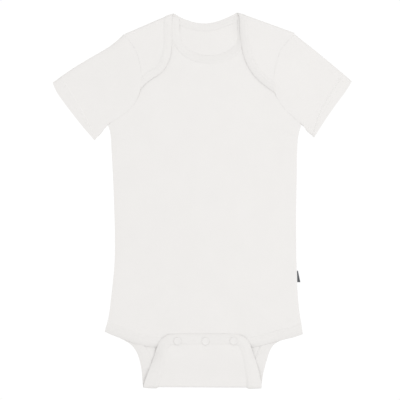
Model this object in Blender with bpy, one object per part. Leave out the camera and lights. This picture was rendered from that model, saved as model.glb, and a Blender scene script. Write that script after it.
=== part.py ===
"""Short-sleeved baby bodysuit with lap shoulders, size 3 to 6 months, laid flat with its front up.

The pieces are what a maker would cut and sew: a back panel whose shoulder laps turn forward over the
shoulder line and whose crotch tab turns forward over the bottom fold, a front panel between them, two
sleeves, knitted bindings round the neck and the legs, three snaps and a small blank side label.

Sizes are in millimetres and become metres in solid(). "Across" is measured from the garment's centre
line, to the right as the garment is seen, and "height" from the lowest point of the crotch fold.
The back panel and its binding are drawn as their flat cut and then bent over their three folds.
"""

import math
from collections import namedtuple

import bmesh
import bpy
import numpy as np
from mathutils import Vector
from mathutils.geometry import delaunay_2d_cdt

MM = 0.001

# ------------------------------------------------------------------ driving sizes (mm)
CENTRE_LINE = 2.65  # from the middle of the part's width to the garment's centre line
MIDDLE = 219.81  # height of the middle of the part's length
CLOTH = 1.1  # jersey wall
BAND = 1.7  # wall of a binding, which is the jersey doubled round an edge
GAP = 0.3  # clearance at seams and between layers
NECK_BAND = 10.0  # width of the neck and lap bindings
FRONT_LEG_BAND = 13.0  # width of the binding on the front leg edge and flap end
HEM = 12.0  # depth of the turned sleeve hem
HEM_RISE = 0.5  # what the turned hem adds to the wall
LAP_RADIUS = 2.75  # outer radius of the cloth where a lap turns over the shoulder
TAB_RADIUS = 2.3  # outer radius where the tab turns over the crotch fold
LAP_PROUD = 0.3  # how far a binding stands out past a turned-over lap
TAB_PROUD = 1.5  # the same at the crotch, where the stretched binding hangs lower than the panel
SETTLED_PROUD = 0.3  # how far any binding stands out once it lies flat on the front
PROUD_FROM = 0.3  # angle round a fold, in radians, from which it begins to stand out
PROUD_SETTLE = 28.0  # length past a fold over which it settles
TAB_LIFT = 2.4  # how far the tab climbs onto the front flap and its snaps
TAB_RAMP = (8.0, 36.0)  # where it climbs, measured from the fold

# Heights of the resting layers, each a clearance above the one below
FRONT_REST = CLOTH + GAP  # the front on the bare back panel
RAISED_REST = BAND + GAP  # the front on the back's bindings
HIP_RISE = (82.0, 118.0)  # heights over which the front comes down off the leg bindings
SHOULDER_RISE = (300.0, 345.0)  # heights over which it climbs onto the shoulder's layers
DOUBLED = 1.8  # wall of the front's shoulder, whose end is turned inside
DOUBLED_RISE = (398.0, 412.0)  # heights over which it thickens
SNAP_ROW = 56.0  # height of the snaps above the crotch fold
SNAP_SPACING = 32.7
SNAP_MIDDLE = 1.0  # the middle snap's place across
SNAP_RADIUS = 4.5
SOCKET_RADIUS = 4.2
SOCKET_THICK = 1.3
CAP_THICK = 1.0
CAP_RIM = 0.9  # half the width of a cap's rounded rim
CAP_DISH = 0.3  # how far its middle is sunk
ROUNDING = 0.3  # edge rounding of a snap's parts

# Mesh fineness
GRID = 13.0  # spacing of points inside a panel
STATION = 8.0  # spacing of points along an edge
FINE_STATION = 1.3  # the same where the edge turns over a fold
FOLD_STEPS = 6  # facets round a fold
LAP_END_CLEARANCE = 0.9  # a lap's binding ends this far from the armhole seam, whose line it meets as a chord
LAP_TAIL = 5  # stations over which a lap's binding is cut slanting into the armhole seam
TURNED_SIDES = 18  # sides of a snap
LABEL_STATIONS = 5
MARGIN = 13.0  # how far a row of fold edges runs past the fold's ends
GRID_CLEARANCE = 0.5  # share of GRID kept free of points beside an outline or a fold
SIDE_CLEARANCE = 1.5  # an edge's last point stops this far from the corner it runs to

# ------------------------------------------------------------------ tables of the garment's shape (mm)
Seam = namedtuple("Seam", "height left right")
Edge = namedtuple("Edge", "across height")
Bound = namedtuple("Bound", "across height band")

SIDE_SEAM = [
    Seam(308.2, 112.9, 113.1),  # underarm
    Seam(303.9, 111.2, 111.5),
    Seam(297.0, 109.6, 109.8),
    Seam(289.9, 109.1, 108.8),
    Seam(278.2, 108.5, 108.1),
    Seam(249.0, 106.9, 107.6),
    Seam(214.0, 105.5, 106.9),
    Seam(173.1, 104.6, 106.9),
    Seam(147.4, 105.0, 107.3),
    Seam(124.1, 107.1, 108.0),
    Seam(103.0, 109.4, 109.3),
    Seam(88.0, 111.3, 111.0),
    Seam(79.5, 113.0, 112.4),  # top of the leg binding
]

ARMHOLE = [
    Seam(414.3, 93.8, 105.2),  # shoulder point
    Seam(395.0, 80.4, 88.8),
    Seam(377.5, 75.2, 82.9),
    Seam(360.0, 73.6, 80.6),
    Seam(346.5, 75.4, 81.8),
    Seam(328.4, 85.3, 92.3),
    Seam(318.0, 98.1, 102.8),
    Seam(308.2, 112.9, 113.1),  # underarm
]

# The silhouette's top line at each shoulder, from the neck peak to the shoulder point
SHOULDER = {
    "left": (Edge(-38.0, 438.3), Edge(-93.8, 414.3)),
    "right": (Edge(42.0, 438.6), Edge(105.0, 415.8)),
}
CROTCH = (Edge(-70.0, 0.7), Edge(66.0, 0.0))  # the silhouette's bottom line, from corner to corner

LAP_EDGE = {  # from the armhole up to the neck, as it lies on the front
    "left": [
        Edge(-80.0, 341.0),
        Edge(-71.8, 353.6),
        Edge(-63.1, 360.7),
        Edge(-51.4, 368.4),
        Edge(-45.8, 374.6),
        Edge(-41.9, 382.6),
        Edge(-39.2, 392.7),
        Edge(-38.2, 403.0),
        Edge(-38.0, 415.0),
        Edge(-38.0, 430.0),
    ],
    "right": [
        Edge(88.5, 341.5),
        Edge(73.6, 351.6),
        Edge(66.0, 357.4),
        Edge(55.8, 368.5),
        Edge(49.3, 379.2),
        Edge(45.0, 391.5),
        Edge(42.9, 403.0),
        Edge(41.2, 416.0),
        Edge(40.9, 430.0),
    ],
}

BACK_NECK = [
    Edge(-28.0, 433.9),
    Edge(-19.0, 430.2),
    Edge(-7.9, 427.4),
    Edge(1.1, 426.8),
    Edge(9.0, 427.8),
    Edge(17.5, 430.0),
    Edge(26.0, 433.5),
    Edge(33.5, 437.0),
]

FRONT_NECK = [
    Edge(-29.8, 431.5),
    Edge(-29.2, 422.0),
    Edge(-28.3, 411.0),
    Edge(-25.1, 402.8),
    Edge(-19.3, 396.8),
    Edge(-11.7, 392.4),
    Edge(-2.3, 389.7),
    Edge(6.0, 389.2),
    Edge(15.2, 390.4),
    Edge(24.5, 393.4),
    Edge(32.1, 397.8),
    Edge(36.7, 404.2),
    Edge(38.4, 413.7),
    Edge(38.4, 431.0),
]

FRONT_LEG = [  # hip corner, leg edge, flap end under the tab, and back up on the right
    Edge(-116.5, 66.8),
    Edge(-107.5, 62.7),
    Edge(-96.0, 58.4),
    Edge(-82.0, 53.6),
    Edge(-66.0, 49.6),
    Edge(-52.0, 47.2),
    Edge(-25.0, 46.5),
    Edge(0.0, 46.5),
    Edge(25.0, 46.5),
    Edge(52.0, 47.2),
    Edge(66.0, 50.6),
    Edge(81.0, 54.8),
    Edge(94.0, 58.0),
    Edge(105.0, 60.6),
    Edge(114.7, 64.0),
]

BACK_LEG = {  # hip corner to crotch fold; the binding is stretched wider towards the fold
    "left": [
        Bound(-116.5, 66.8, 13.0),
        Bound(-107.2, 62.8, 13.0),
        Bound(-96.4, 58.0, 13.0),
        Bound(-87.4, 52.8, 13.0),
        Bound(-81.5, 46.6, 13.0),
        Bound(-77.4, 38.0, 13.5),
        Bound(-74.7, 28.3, 14.8),
        Bound(-73.2, 18.0, 16.2),
        Bound(-72.4, 8.0, 17.5),
    ],
    "right": [
        Bound(114.7, 64.0, 13.0),
        Bound(105.1, 60.4, 13.0),
        Bound(94.9, 57.9, 13.0),
        Bound(85.0, 54.6, 13.0),
        Bound(78.6, 49.0, 13.0),
        Bound(74.8, 40.5, 13.5),
        Bound(71.8, 30.5, 14.6),
        Bound(69.0, 20.0, 16.0),
        Bound(66.9, 8.0, 17.5),
    ],
}

TAB = [  # as it lies on the front: up from the fold, round its end, and down again
    Bound(-70.2, 7.0, 18.0),
    Bound(-66.4, 18.0, 16.5),
    Bound(-60.9, 33.0, 14.5),
    Bound(-56.3, 46.5, 13.0),
    Bound(-52.8, 55.2, 13.0),
    Bound(-45.5, 61.9, 13.0),
    Bound(-36.0, 64.6, 13.0),
    Bound(-18.0, 65.0, 13.0),
    Bound(0.0, 65.0, 13.0),
    Bound(18.0, 65.0, 13.0),
    Bound(35.0, 64.6, 13.0),
    Bound(44.5, 61.9, 13.0),
    Bound(51.8, 55.2, 13.0),
    Bound(55.2, 46.5, 13.0),
    Bound(59.8, 33.0, 14.5),
    Bound(63.9, 18.0, 16.5),
    Bound(66.0, 7.0, 18.0),
]

SLEEVE_TOP = {  # shoulder point to the tip of the cuff
    "left": [
        Edge(-93.8, 414.3),
        Edge(-98.1, 410.4),
        Edge(-105.1, 404.3),
        Edge(-112.1, 399.3),
        Edge(-126.2, 391.1),
        Edge(-140.2, 382.7),
        Edge(-154.2, 374.1),
        Edge(-168.0, 364.3),
        Edge(-177.2, 357.5),
    ],
    "right": [
        Edge(105.2, 415.6),
        Edge(110.1, 411.4),
        Edge(117.3, 405.8),
        Edge(124.4, 400.3),
        Edge(138.1, 388.8),
        Edge(151.8, 377.0),
        Edge(165.5, 364.9),
        Edge(171.9, 359.0),
    ],
}

CUFF = {  # tip to lower corner
    "left": [
        Edge(-177.2, 357.5),
        Edge(-173.4, 348.3),
        Edge(-164.1, 334.3),
        Edge(-153.4, 320.3),
        Edge(-142.3, 306.3),
        Edge(-128.2, 290.0),
    ],
    "right": [
        Edge(171.9, 359.0),
        Edge(165.4, 348.3),
        Edge(155.1, 334.3),
        Edge(145.1, 320.3),
        Edge(135.6, 305.9),
        Edge(127.6, 293.2),
    ],
}

# Stations round a sleeve, from its top edge (0) to its underside (1), close together at the rounded edges
ACROSS_SLEEVE = [0, 0.02, 0.07, 0.14, 0.22, 0.30, 0.38, 0.46, 0.54, 0.62, 0.70, 0.78, 0.86, 0.93, 0.98, 1]
ALONG_SLEEVE = [0, 0.1, 0.22, 0.36, 0.5, 0.64]  # then the hem's two lines and the cuff

ROUNDED_EDGE = 0.07  # share of a sleeve's width over which its edge rounds
LEAVING = 0.8  # how strongly a sleeve's lines leave the armhole squarely, as a share of their length
SETTLED = 0.4  # share of a sleeve's length over which it comes down from the body's layers
HEM_STEP = 0.012  # share of its length over which the hem's edge rises
TUBE_EDGE = 1.8  # wall where the tube folds at its two edges

# Height of a sleeve's upper face at the armhole, where it meets the body's layers
ArmholeTop = namedtuple("ArmholeTop", "across top")
SLEEVE_AT_ARMHOLE = [ArmholeTop(0, 5.0), ArmholeTop(0.5, 5.0), ArmholeTop(0.75, 3.4), ArmholeTop(1, 2.8)]
SLEEVE_TOP_FACE = 3.3  # height of the upper face away from the armhole

LABEL_SPAN = (124.6, 138.0)  # heights between which the label is caught in the right side seam
LABEL_REACH = (3.6, 1.2)  # how far its loop stands out at the lower and upper end
LABEL_LEAF = 1.0
LABEL_TURN = 0.7  # length of its fold as a share of the leaf's wall

# Cross-section of a binding: across from the garment's edge (0) to its seam (1), through from face to face
BAND_PROFILE = [
    (0.0, 0.3),
    (0.06, 0.0),
    (0.94, 0.0),
    (1.0, 0.15),
    (1.0, 0.75),
    (0.9, 1.0),
    (0.12, 1.0),
    (0.0, 0.7),
]

# ------------------------------------------------------------------ curves in the plane


def curve(rows, step):
    """Rows about every step along the smooth curve through the given rows (cubic Hermite pieces)."""
    rows = np.array(rows, float)
    at = np.concatenate([[0.0], np.cumsum(np.linalg.norm(np.diff(rows[:, :2], axis=0), axis=1))])
    slope = np.gradient(rows, at, axis=0)
    wanted = np.linspace(0.0, at[-1], max(2, round(at[-1] / step) + 1))
    k = np.clip(np.searchsorted(at, wanted, side="right") - 1, 0, len(at) - 2)
    span = (at[k + 1] - at[k])[:, None]
    u = (wanted - at[k])[:, None] / span
    return (
        (2 * u**3 - 3 * u**2 + 1) * rows[k]
        + (u**3 - 2 * u**2 + u) * span * slope[k]
        + (3 * u**2 - 2 * u**3) * rows[k + 1]
        + (u**3 - u**2) * span * slope[k + 1]
    )


def at_fractions(path, fractions):
    """Points at the given fractions of a dense path's length."""
    length = np.concatenate([[0.0], np.cumsum(np.linalg.norm(np.diff(path[:, :2], axis=0), axis=1))])
    wanted = np.array(fractions) * length[-1]
    return np.stack([np.interp(wanted, length, path[:, i]) for i in range(2)], axis=1)


def to_left(path, distance):
    """The path moved sideways to the left of its direction."""
    direction = np.gradient(path[:, :2], axis=0)
    direction /= np.linalg.norm(direction, axis=1)[:, None]
    return path[:, :2] + np.stack([-direction[:, 1], direction[:, 0]], axis=1) * np.reshape(distance, (-1, 1))


def eased(x, start, end):
    """0 before start, 1 after end, and a smooth rise between."""
    t = np.clip((x - start) / (end - start), 0.0, 1.0)
    return t * t * (3 - 2 * t)


def seam_side(table, side):
    """One side of a Seam table as points."""
    sign = -1 if side == "left" else 1
    return [(sign * getattr(row, side), row.height) for row in table]


# ------------------------------------------------------------------ folds of the back panel

Fold = namedtuple("Fold", "name origin out half_length radius proud lift")


def fold_along(name, line, radius, proud, lift):
    """A fold whose binding's outermost points run along a line of the silhouette."""
    start, end = (np.array(edge) for edge in line)
    length = np.linalg.norm(end - start)
    out = np.array([start[1] - end[1], end[0] - start[0]]) / length
    out *= np.sign((start - (0.0, MIDDLE)) @ out)
    return Fold(name, (start + end) / 2 - out * (radius + proud), out, length / 2, radius, proud, lift)


FOLDS = {
    "left": fold_along("left", SHOULDER["left"], LAP_RADIUS, LAP_PROUD, 0.0),
    "right": fold_along("right", SHOULDER["right"], LAP_RADIUS, LAP_PROUD, 0.0),
    "crotch": fold_along("crotch", CROTCH, TAB_RADIUS, TAB_PROUD, TAB_LIFT),
}


def past_line(points, fold):
    """How far points of the flat cut lie past a fold's line, and whether they are at that fold's corner."""
    distance = (points[:, :2] - fold.origin) @ fold.out
    upper = points[:, 1] > MIDDLE
    corner = {"left": upper & (points[:, 0] < 0), "right": upper & (points[:, 0] >= 0), "crotch": ~upper}
    return distance, corner[fold.name]


def unfold(rows, fold):
    """Rows of a turned-over part, as it lies, taken back to the flat cut."""
    rows = np.array(rows, float)
    inside = -(rows[:, :2] - fold.origin) @ fold.out
    rows[:, :2] += np.outer(2 * inside + math.pi * fold.radius, fold.out)
    return rows


def bend(points, depth):
    """Flat cut to the laid garment; depth is measured into the cloth from the outer face."""
    depth = np.broadcast_to(depth, len(points)).astype(float)
    place = np.column_stack([points[:, :2], depth])
    for fold in FOLDS.values():
        distance, own = past_line(points, fold)
        turned = own & (distance > 0)
        angle = np.minimum(distance / fold.radius, math.pi)
        past = np.maximum(distance - math.pi * fold.radius, 0.0)
        reach = (fold.radius - depth) * np.sin(angle) - past
        height = fold.radius - (fold.radius - depth) * np.cos(angle) + fold.lift * eased(past, *TAB_RAMP)
        moved = points[:, :2] + np.outer(reach, fold.out) - np.outer(distance, fold.out)
        place[turned] = np.column_stack([moved, height])[turned]
    return place


def back_cloth(points, through):
    return bend(points, through * CLOTH)


def back_band(points, through):
    """A binding of the back: flat on the floor with the panel, and proud of it where it is turned over."""
    proud = np.zeros(len(points))
    for fold in FOLDS.values():
        distance, own = past_line(points, fold)
        quarter, half = math.pi * fold.radius / 2, math.pi * fold.radius
        stands = fold.proud * eased(distance, PROUD_FROM * fold.radius, quarter)
        settled = (fold.proud - SETTLED_PROUD) * eased(distance, half, half + PROUD_SETTLE)
        proud = np.where(own, stands - settled, proud)
    return bend(points, through * BAND - proud)


# ------------------------------------------------------------------ the front's layers


def front_rest(points):
    """Height on which the front lies: the back panel, or its bindings at the hips and shoulders."""
    height = points[:, 1]
    raised = 1 - eased(height, *HIP_RISE) + eased(height, *SHOULDER_RISE)
    return FRONT_REST + (RAISED_REST - FRONT_REST) * raised


def front_cloth(points, through):
    wall = CLOTH + (DOUBLED - CLOTH) * eased(points[:, 1], *DOUBLED_RISE)
    return np.column_stack([points[:, :2], front_rest(points) + through * wall])


def front_band(points, through):
    return np.column_stack([points[:, :2], front_rest(points) + through * BAND])


# ------------------------------------------------------------------ solids


def material(name, colour, roughness, metallic=0.0):
    made = bpy.data.materials.new(name)
    made.use_nodes = True
    shader = made.node_tree.nodes["Principled BSDF"]
    shader.inputs["Base Color"].default_value = (*colour, 1.0)
    shader.inputs["Roughness"].default_value = roughness
    shader.inputs["Metallic"].default_value = metallic
    return made


def solid(name, points, faces, finish):
    """A closed body from points in mm, placed about the middle of the part's length and width."""
    points = (np.asarray(points, float) + (CENTRE_LINE, -MIDDLE, 0.0)) * MM
    mesh = bpy.data.meshes.new(name)
    mesh.from_pydata(points.tolist(), [], [list(face) for face in faces])
    work = bmesh.new()
    work.from_mesh(mesh)
    bmesh.ops.recalc_face_normals(work, faces=work.faces)
    if work.calc_volume(signed=True) < 0:
        bmesh.ops.reverse_faces(work, faces=work.faces)
    work.to_mesh(mesh)
    work.free()
    mesh.shade_smooth()
    mesh.set_sharp_from_angle(angle=math.radians(40))
    mesh.materials.append(finish)
    body = bpy.data.objects.new(name, mesh)
    bpy.context.collection.objects.link(body)
    return body


def inside(points, outline):
    """Even-odd test of points against a closed outline."""
    x, y = points[:, 0][:, None], points[:, 1][:, None]
    x1, y1 = outline[:, 0], outline[:, 1]
    x2, y2 = np.roll(x1, -1), np.roll(y1, -1)
    crosses = ((y1 > y) != (y2 > y)) & (x < (x2 - x1) * (y - y1) / np.where(y1 == y2, 1e-12, y2 - y1) + x1)
    return crosses.sum(axis=1) % 2 == 1


def clearance(points, outline):
    """Distance of each point from the nearest segment of a closed outline."""
    start, along = outline, np.roll(outline, -1, axis=0) - outline
    share = ((points[:, None] - start) * along).sum(axis=2) / np.maximum((along**2).sum(axis=1), 1e-12)
    nearest = start + np.clip(share, 0, 1)[..., None] * along
    return np.linalg.norm(points[:, None] - nearest, axis=2).min(axis=1)


def panel(name, outline, place, finish, folds=()):
    """A cloth wall over the flat region inside an outline, with straight rows of edges at its folds."""
    low, high = outline.min(axis=0), outline.max(axis=0)
    grid = np.stack(
        np.meshgrid(*(np.arange(a + GRID / 2, b, GRID) for a, b in zip(low, high))), axis=-1
    ).reshape(-1, 2)
    grid = grid[inside(grid, outline) & (clearance(grid, outline) > GRID * GRID_CLEARANCE)]
    points, edges = [tuple(p) for p in outline], [(i, (i + 1) % len(outline)) for i in range(len(outline))]
    for fold in folds:
        distance, own = past_line(grid, fold)
        turn, kept_clear = math.pi * fold.radius, GRID * GRID_CLEARANCE
        grid = grid[~(own & (distance > -kept_clear) & (distance < turn + kept_clear))]
        reach = np.array([-fold.out[1], fold.out[0]]) * (fold.half_length + MARGIN)
        for step in range(FOLD_STEPS + 1):
            middle = fold.origin + fold.out * (turn * step / FOLD_STEPS)
            edges.append((len(points), len(points) + 1))
            points += [tuple(middle - reach), tuple(middle + reach)]
    points += [tuple(p) for p in grid]
    made = delaunay_2d_cdt([Vector(p) for p in points], edges, [], 0, 1e-4)
    flat = np.array([tuple(v) for v in made[0]])
    triangles = np.array([face for face in made[2]])
    middle = flat[triangles].mean(axis=1)
    triangles = triangles[inside(middle, outline)]
    a, b, c = (flat[triangles[:, i]] for i in range(3))
    turn = (b[:, 0] - a[:, 0]) * (c[:, 1] - a[:, 1]) - (b[:, 1] - a[:, 1]) * (c[:, 0] - a[:, 0])
    triangles[turn < 0] = triangles[turn < 0][:, ::-1]
    used = np.unique(triangles)
    triangles = np.searchsorted(used, triangles)
    flat = flat[used]
    count = len(flat)
    sides = np.concatenate([triangles[:, [0, 1]], triangles[:, [1, 2]], triangles[:, [2, 0]]])
    known = {tuple(side) for side in sides.tolist()}
    rim = [(i, j) for i, j in known if (j, i) not in known]
    faces = (triangles + count).tolist() + triangles[:, ::-1].tolist()
    faces += [(i, j, j + count, i + count) for i, j in rim]
    return solid(name, np.concatenate([place(flat, 0.0), place(flat, 1.0)]), faces, finish)


def loft(rings, closed_ends=True):
    """Faces over rings of equal size laid one after another in the point list."""
    count, size = rings
    faces = []
    for i in range(count - 1):
        for j in range(size):
            k = (j + 1) % size
            faces.append((i * size + j, i * size + k, (i + 1) * size + k, (i + 1) * size + j))
    if closed_ends:
        faces += [tuple(range(size)), tuple(range((count - 1) * size, count * size))[::-1]]
    return faces


def binding(name, outer, inner, place, finish):
    """A strip between the garment's edge and its seam, with the binding's rounded cross-section."""
    points = []
    for edge, seam in zip(outer, inner):
        ring = np.array([edge[:2] + (seam[:2] - edge[:2]) * across for across, _ in BAND_PROFILE])
        points.append(np.concatenate([place(ring[i : i + 1], BAND_PROFILE[i][1]) for i in range(len(ring))]))
    faces = loft((len(points), len(BAND_PROFILE)))
    return solid(name, np.concatenate(points), faces, finish)


def turned(name, profile, centre, finish):
    """A round piece from (radius, height) rows; the first and last row lie on its axis."""
    x, y, z = centre
    points, rows = [(x, y, z + profile[0][1])], profile[1:-1]
    for radius, height in rows:
        for i in range(TURNED_SIDES):
            angle = 2 * math.pi * i / TURNED_SIDES
            points.append((x + radius * math.cos(angle), y + radius * math.sin(angle), z + height))
    points.append((x, y, z + profile[-1][1]))
    faces = [tuple(v + 1 for v in face) for face in loft((len(rows), TURNED_SIDES), closed_ends=False)]
    last = len(points) - 1
    for i in range(TURNED_SIDES):
        j = (i + 1) % TURNED_SIDES
        faces.append((0, 1 + j, 1 + i))
        faces.append((last, last - TURNED_SIDES + i, last - TURNED_SIDES + j))
    return solid(name, points, faces, finish)


# ------------------------------------------------------------------ edges shared by panels and bindings


def thinned(path, width):
    """Fewer points on a dense path: STATION apart, but all of them where the strip turns over a fold."""
    seam = to_left(path, width)
    close = np.zeros(len(path), bool)
    for fold in FOLDS.values():
        (outer, own), (inner, _) = past_line(path, fold), past_line(seam, fold)
        turn = math.pi * fold.radius
        near_line = np.maximum(outer, inner) > -STATION / 2
        close |= own & near_line & (np.minimum(outer, inner) < turn + STATION / 2)
    kept = [0]
    for i in range(1, len(path) - 1):
        if close[i] or np.linalg.norm(path[i, :2] - path[kept[-1], :2]) >= STATION:
            kept.append(i)
    return np.array(kept + [len(path) - 1])


def armhole(side):
    """The armhole seam at the sleeve's stations, from the shoulder point to the underarm."""
    return at_fractions(curve(seam_side(ARMHOLE, side), 1.0), ACROSS_SLEEVE)


def inside_armhole(points, side):
    """How far points lie on the body's side of the armhole seam."""
    seam = armhole(side)[::-1]
    sign = -1 if side == "left" else 1
    return sign * np.interp(points[:, 1], seam[:, 1], seam[:, 0]) - sign * points[:, 0]


def ended_at_armhole(rail, side):
    """A rail of the flat cut whose last points are drawn back, evenly spaced, to the armhole seam."""
    start = len(rail) - LAP_TAIL
    clear = inside_armhole(bend(rail[start:], 0.0), side) - LAP_END_CLEARANCE
    first = int(np.argmax(clear < 0))
    share = clear[first - 1] / (clear[first - 1] - clear[first])
    end = rail[start + first - 1] * (1 - share) + rail[start + first] * share
    kept = np.concatenate([rail[start : start + first], [end]])
    return np.concatenate([rail[:start], at_fractions(kept, np.linspace(0, 1, LAP_TAIL))])


def rails(path, band):
    """A binding's outer edge and seam, and the panel's edge beside the seam, at shared stations."""
    kept = thinned(path, band)
    return [to_left(path, reach)[kept] for reach in (band * 0, band, band + GAP)]


def ended_in_side_seams(found):
    """Leg rails whose ends are moved along the leg edge until they lie on the side seams."""
    outer = found[0]
    for rail in found[1:]:
        for end, following, side in ((0, 1, "left"), (-1, -2, "right")):
            line = np.array(seam_side(SIDE_SEAM, side)[-1]) - outer[end]
            leg = (outer[following] - outer[end]) / np.linalg.norm(outer[following] - outer[end])
            squarely = np.array([-leg[1], leg[0]])
            rail[end] = outer[end] + line * ((rail[end] - outer[end]) @ squarely) / (line @ squarely)
    return found


def neck_rails():
    """Laps and back neck in the flat cut, from the right armhole to the left one."""
    right = unfold(LAP_EDGE["right"], FOLDS["right"])
    left = unfold(LAP_EDGE["left"][::-1], FOLDS["left"])
    path = curve(np.concatenate([right, BACK_NECK[::-1], left]), FINE_STATION)
    found = [ended_at_armhole(rail, "left") for rail in rails(path, np.full(len(path), NECK_BAND))]
    return [ended_at_armhole(rail[::-1], "right")[::-1] for rail in found]


def leg_rails():
    """Back leg edges and tab in the flat cut, from the left hip to the right one."""
    tab = unfold(TAB, FOLDS["crotch"])
    path = curve(np.concatenate([BACK_LEG["left"], tab, BACK_LEG["right"][::-1]]), FINE_STATION)
    return ended_in_side_seams(rails(path, path[:, 2]))


def front_rails(table, band):
    path = curve(table, FINE_STATION)
    return rails(path, np.full(len(path), band))


def upper_armhole(side, fold):
    """The armhole from where it meets a shoulder fold's line down to the underarm."""
    seam = armhole(side)
    distance = (seam - fold.origin) @ fold.out
    first = int(np.argmax(distance < 0))
    share = distance[first - 1] / (distance[first - 1] - distance[first])
    return np.concatenate([[seam[first - 1] * (1 - share) + seam[first] * share], seam[first:]])


def side_edge(side, lowest):
    """The side seam from the underarm down to just above a height."""
    points = curve(seam_side(SIDE_SEAM, side), STATION)
    return points[points[:, 1] > lowest + SIDE_CLEARANCE][1:]


# ------------------------------------------------------------------ pieces


def back_outline(neck_edge, leg_edge):
    """The back panel's flat cut, anticlockwise from the left hip."""
    laps = {}
    for side, end in (("right", neck_edge[0]), ("left", neck_edge[-1])):
        seam = upper_armhole(side, FOLDS[side])
        lowest = bend(end[None], 0.0)[0, 1]
        laps[side] = unfold(seam[seam[:, 1] > lowest + SIDE_CLEARANCE], FOLDS[side])
    right, left = (upper_armhole(side, FOLDS[side]) for side in ("right", "left"))
    return np.concatenate(
        [
            leg_edge,
            side_edge("right", leg_edge[-1, 1])[::-1],
            right[::-1],
            laps["right"],
            neck_edge,
            laps["left"][::-1],
            left,
            side_edge("left", leg_edge[0, 1]),
        ]
    )


def front_outline(neck_edge, leg_edge):
    """The front panel, anticlockwise from the left hip; its shoulders end at the folds' lines."""
    right, left = (upper_armhole(side, FOLDS[side]) for side in ("right", "left"))
    return np.concatenate(
        [
            leg_edge,
            side_edge("right", leg_edge[-1, 1])[::-1],
            right[::-1],
            neck_edge,
            left,
            side_edge("left", leg_edge[0, 1]),
        ]
    )


def sleeve(side, finish):
    """A flattened tube: rings across the sleeve, from the armhole to the turned hem, open at both ends."""
    sign = -1 if side == "left" else 1
    seam = to_left(armhole(side), sign * GAP)
    cuff = at_fractions(curve(CUFF[side], 1.0), ACROSS_SLEEVE)
    top = curve(SLEEVE_TOP[side], 1.0)
    hem_at = 1 - HEM / np.linalg.norm(cuff[len(cuff) // 2] - seam[len(seam) // 2])
    along = ALONG_SLEEVE + [hem_at, hem_at + HEM_STEP, 1.0]
    w = np.array(ACROSS_SLEEVE)[:, None]
    arm_top = np.interp(ACROSS_SLEEVE, *zip(*SLEEVE_AT_ARMHOLE))
    leaving = (to_left(seam, sign) - seam) * LEAVING * np.linalg.norm(cuff - seam, axis=1)[:, None]
    outer_rings, inner_rings = [], []
    for s in along:
        # Each line leaves the armhole squarely and turns towards its point of the cuff
        plan = seam + (cuff - seam) * (s * s * (2 - s)) + leaving * (s * (1 - s) ** 2)
        upper = at_fractions(top, [s])[0] + (1 - s) * (seam[0] - top[0])
        plan = plan + (1 - w) ** 2 * (upper - plan[0])
        plan[-1] = seam[-1] * (1 - s) + cuff[-1] * s
        settle = 1 - float(eased(s, 0.0, SETTLED))
        top_face = SLEEVE_TOP_FACE + (arm_top - SLEEVE_TOP_FACE) * settle
        middle = top_face / 2
        top_face = top_face + (HEM_RISE if s > hem_at else 0.0)
        outer_rings.append(tube_ring(plan, w[:, 0], middle, top_face, 0.0))
        inset = TUBE_EDGE / np.linalg.norm(plan[-1] - plan[0])
        inner_w = inset + w[:, 0] * (1 - 2 * inset)
        inner_plan = np.stack([np.interp(inner_w, w[:, 0], plan[:, i]) for i in range(2)], axis=1)
        thick = CLOTH + (HEM_RISE if s > hem_at else 0.0)
        inner_rings.append(tube_ring(inner_plan, w[:, 0], middle, top_face - thick, CLOTH))
    size, count = len(outer_rings[0]), len(along)
    wall = loft((count, size), closed_ends=False)
    faces = wall + [tuple(v + size * count for v in face[::-1]) for face in wall]
    for start in (0, (count - 1) * size):
        for j in range(size):
            k = (j + 1) % size
            rim = (start + j, start + k, start + k + size * count, start + j + size * count)
            faces.append(rim if start else rim[::-1])
    return solid(f"sleeve_{side}", np.concatenate(outer_rings + inner_rings), faces, finish)


def tube_ring(plan, across, middle, top_face, bottom_face):
    """One closed ring round a flattened tube: over the top, then back underneath, meeting at its edges."""
    near_edge = np.minimum(across, 1 - across) / ROUNDED_EDGE
    rise = np.sqrt(np.clip(1 - (1 - np.minimum(near_edge, 1.0)) ** 2, 0, 1))
    over = np.column_stack([plan, middle + (top_face - middle) * rise])
    under = np.column_stack([plan, middle + (bottom_face - middle) * rise])
    return np.concatenate([over, under[-2:0:-1]])


def side_label(finish):
    """A narrow blank tape folded double, caught in the right side seam and standing out of it."""
    low, high = LABEL_SPAN
    seam = np.array(seam_side(SIDE_SEAM, "right"))[::-1]
    slot = GAP / 2
    middle = LABEL_LEAF + slot
    rings = []
    for share in np.linspace(0, 1, LABEL_STATIONS):
        height = low + (high - low) * share
        root = float(np.interp(height, seam[:, 1], seam[:, 0])) + GAP
        reach = LABEL_REACH[0] * (1 - share) + LABEL_REACH[1] * share
        tip, turn = root + reach, root + reach - min(LABEL_TURN * LABEL_LEAF, reach / 2)
        profile = [
            (root, 0.0),
            (turn, 0.0),
            (tip, LABEL_LEAF / 2),
            (tip, 2 * middle - LABEL_LEAF / 2),
            (turn, 2 * middle),
            (root, 2 * middle),
            (root, middle + slot),
            (turn, middle + slot),
            (turn, middle - slot),
            (root, middle - slot),
        ]
        rings.append([(x, height, z) for x, z in profile])
    return solid("side_label", np.concatenate(rings), loft((len(rings), len(profile))), finish)


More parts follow.
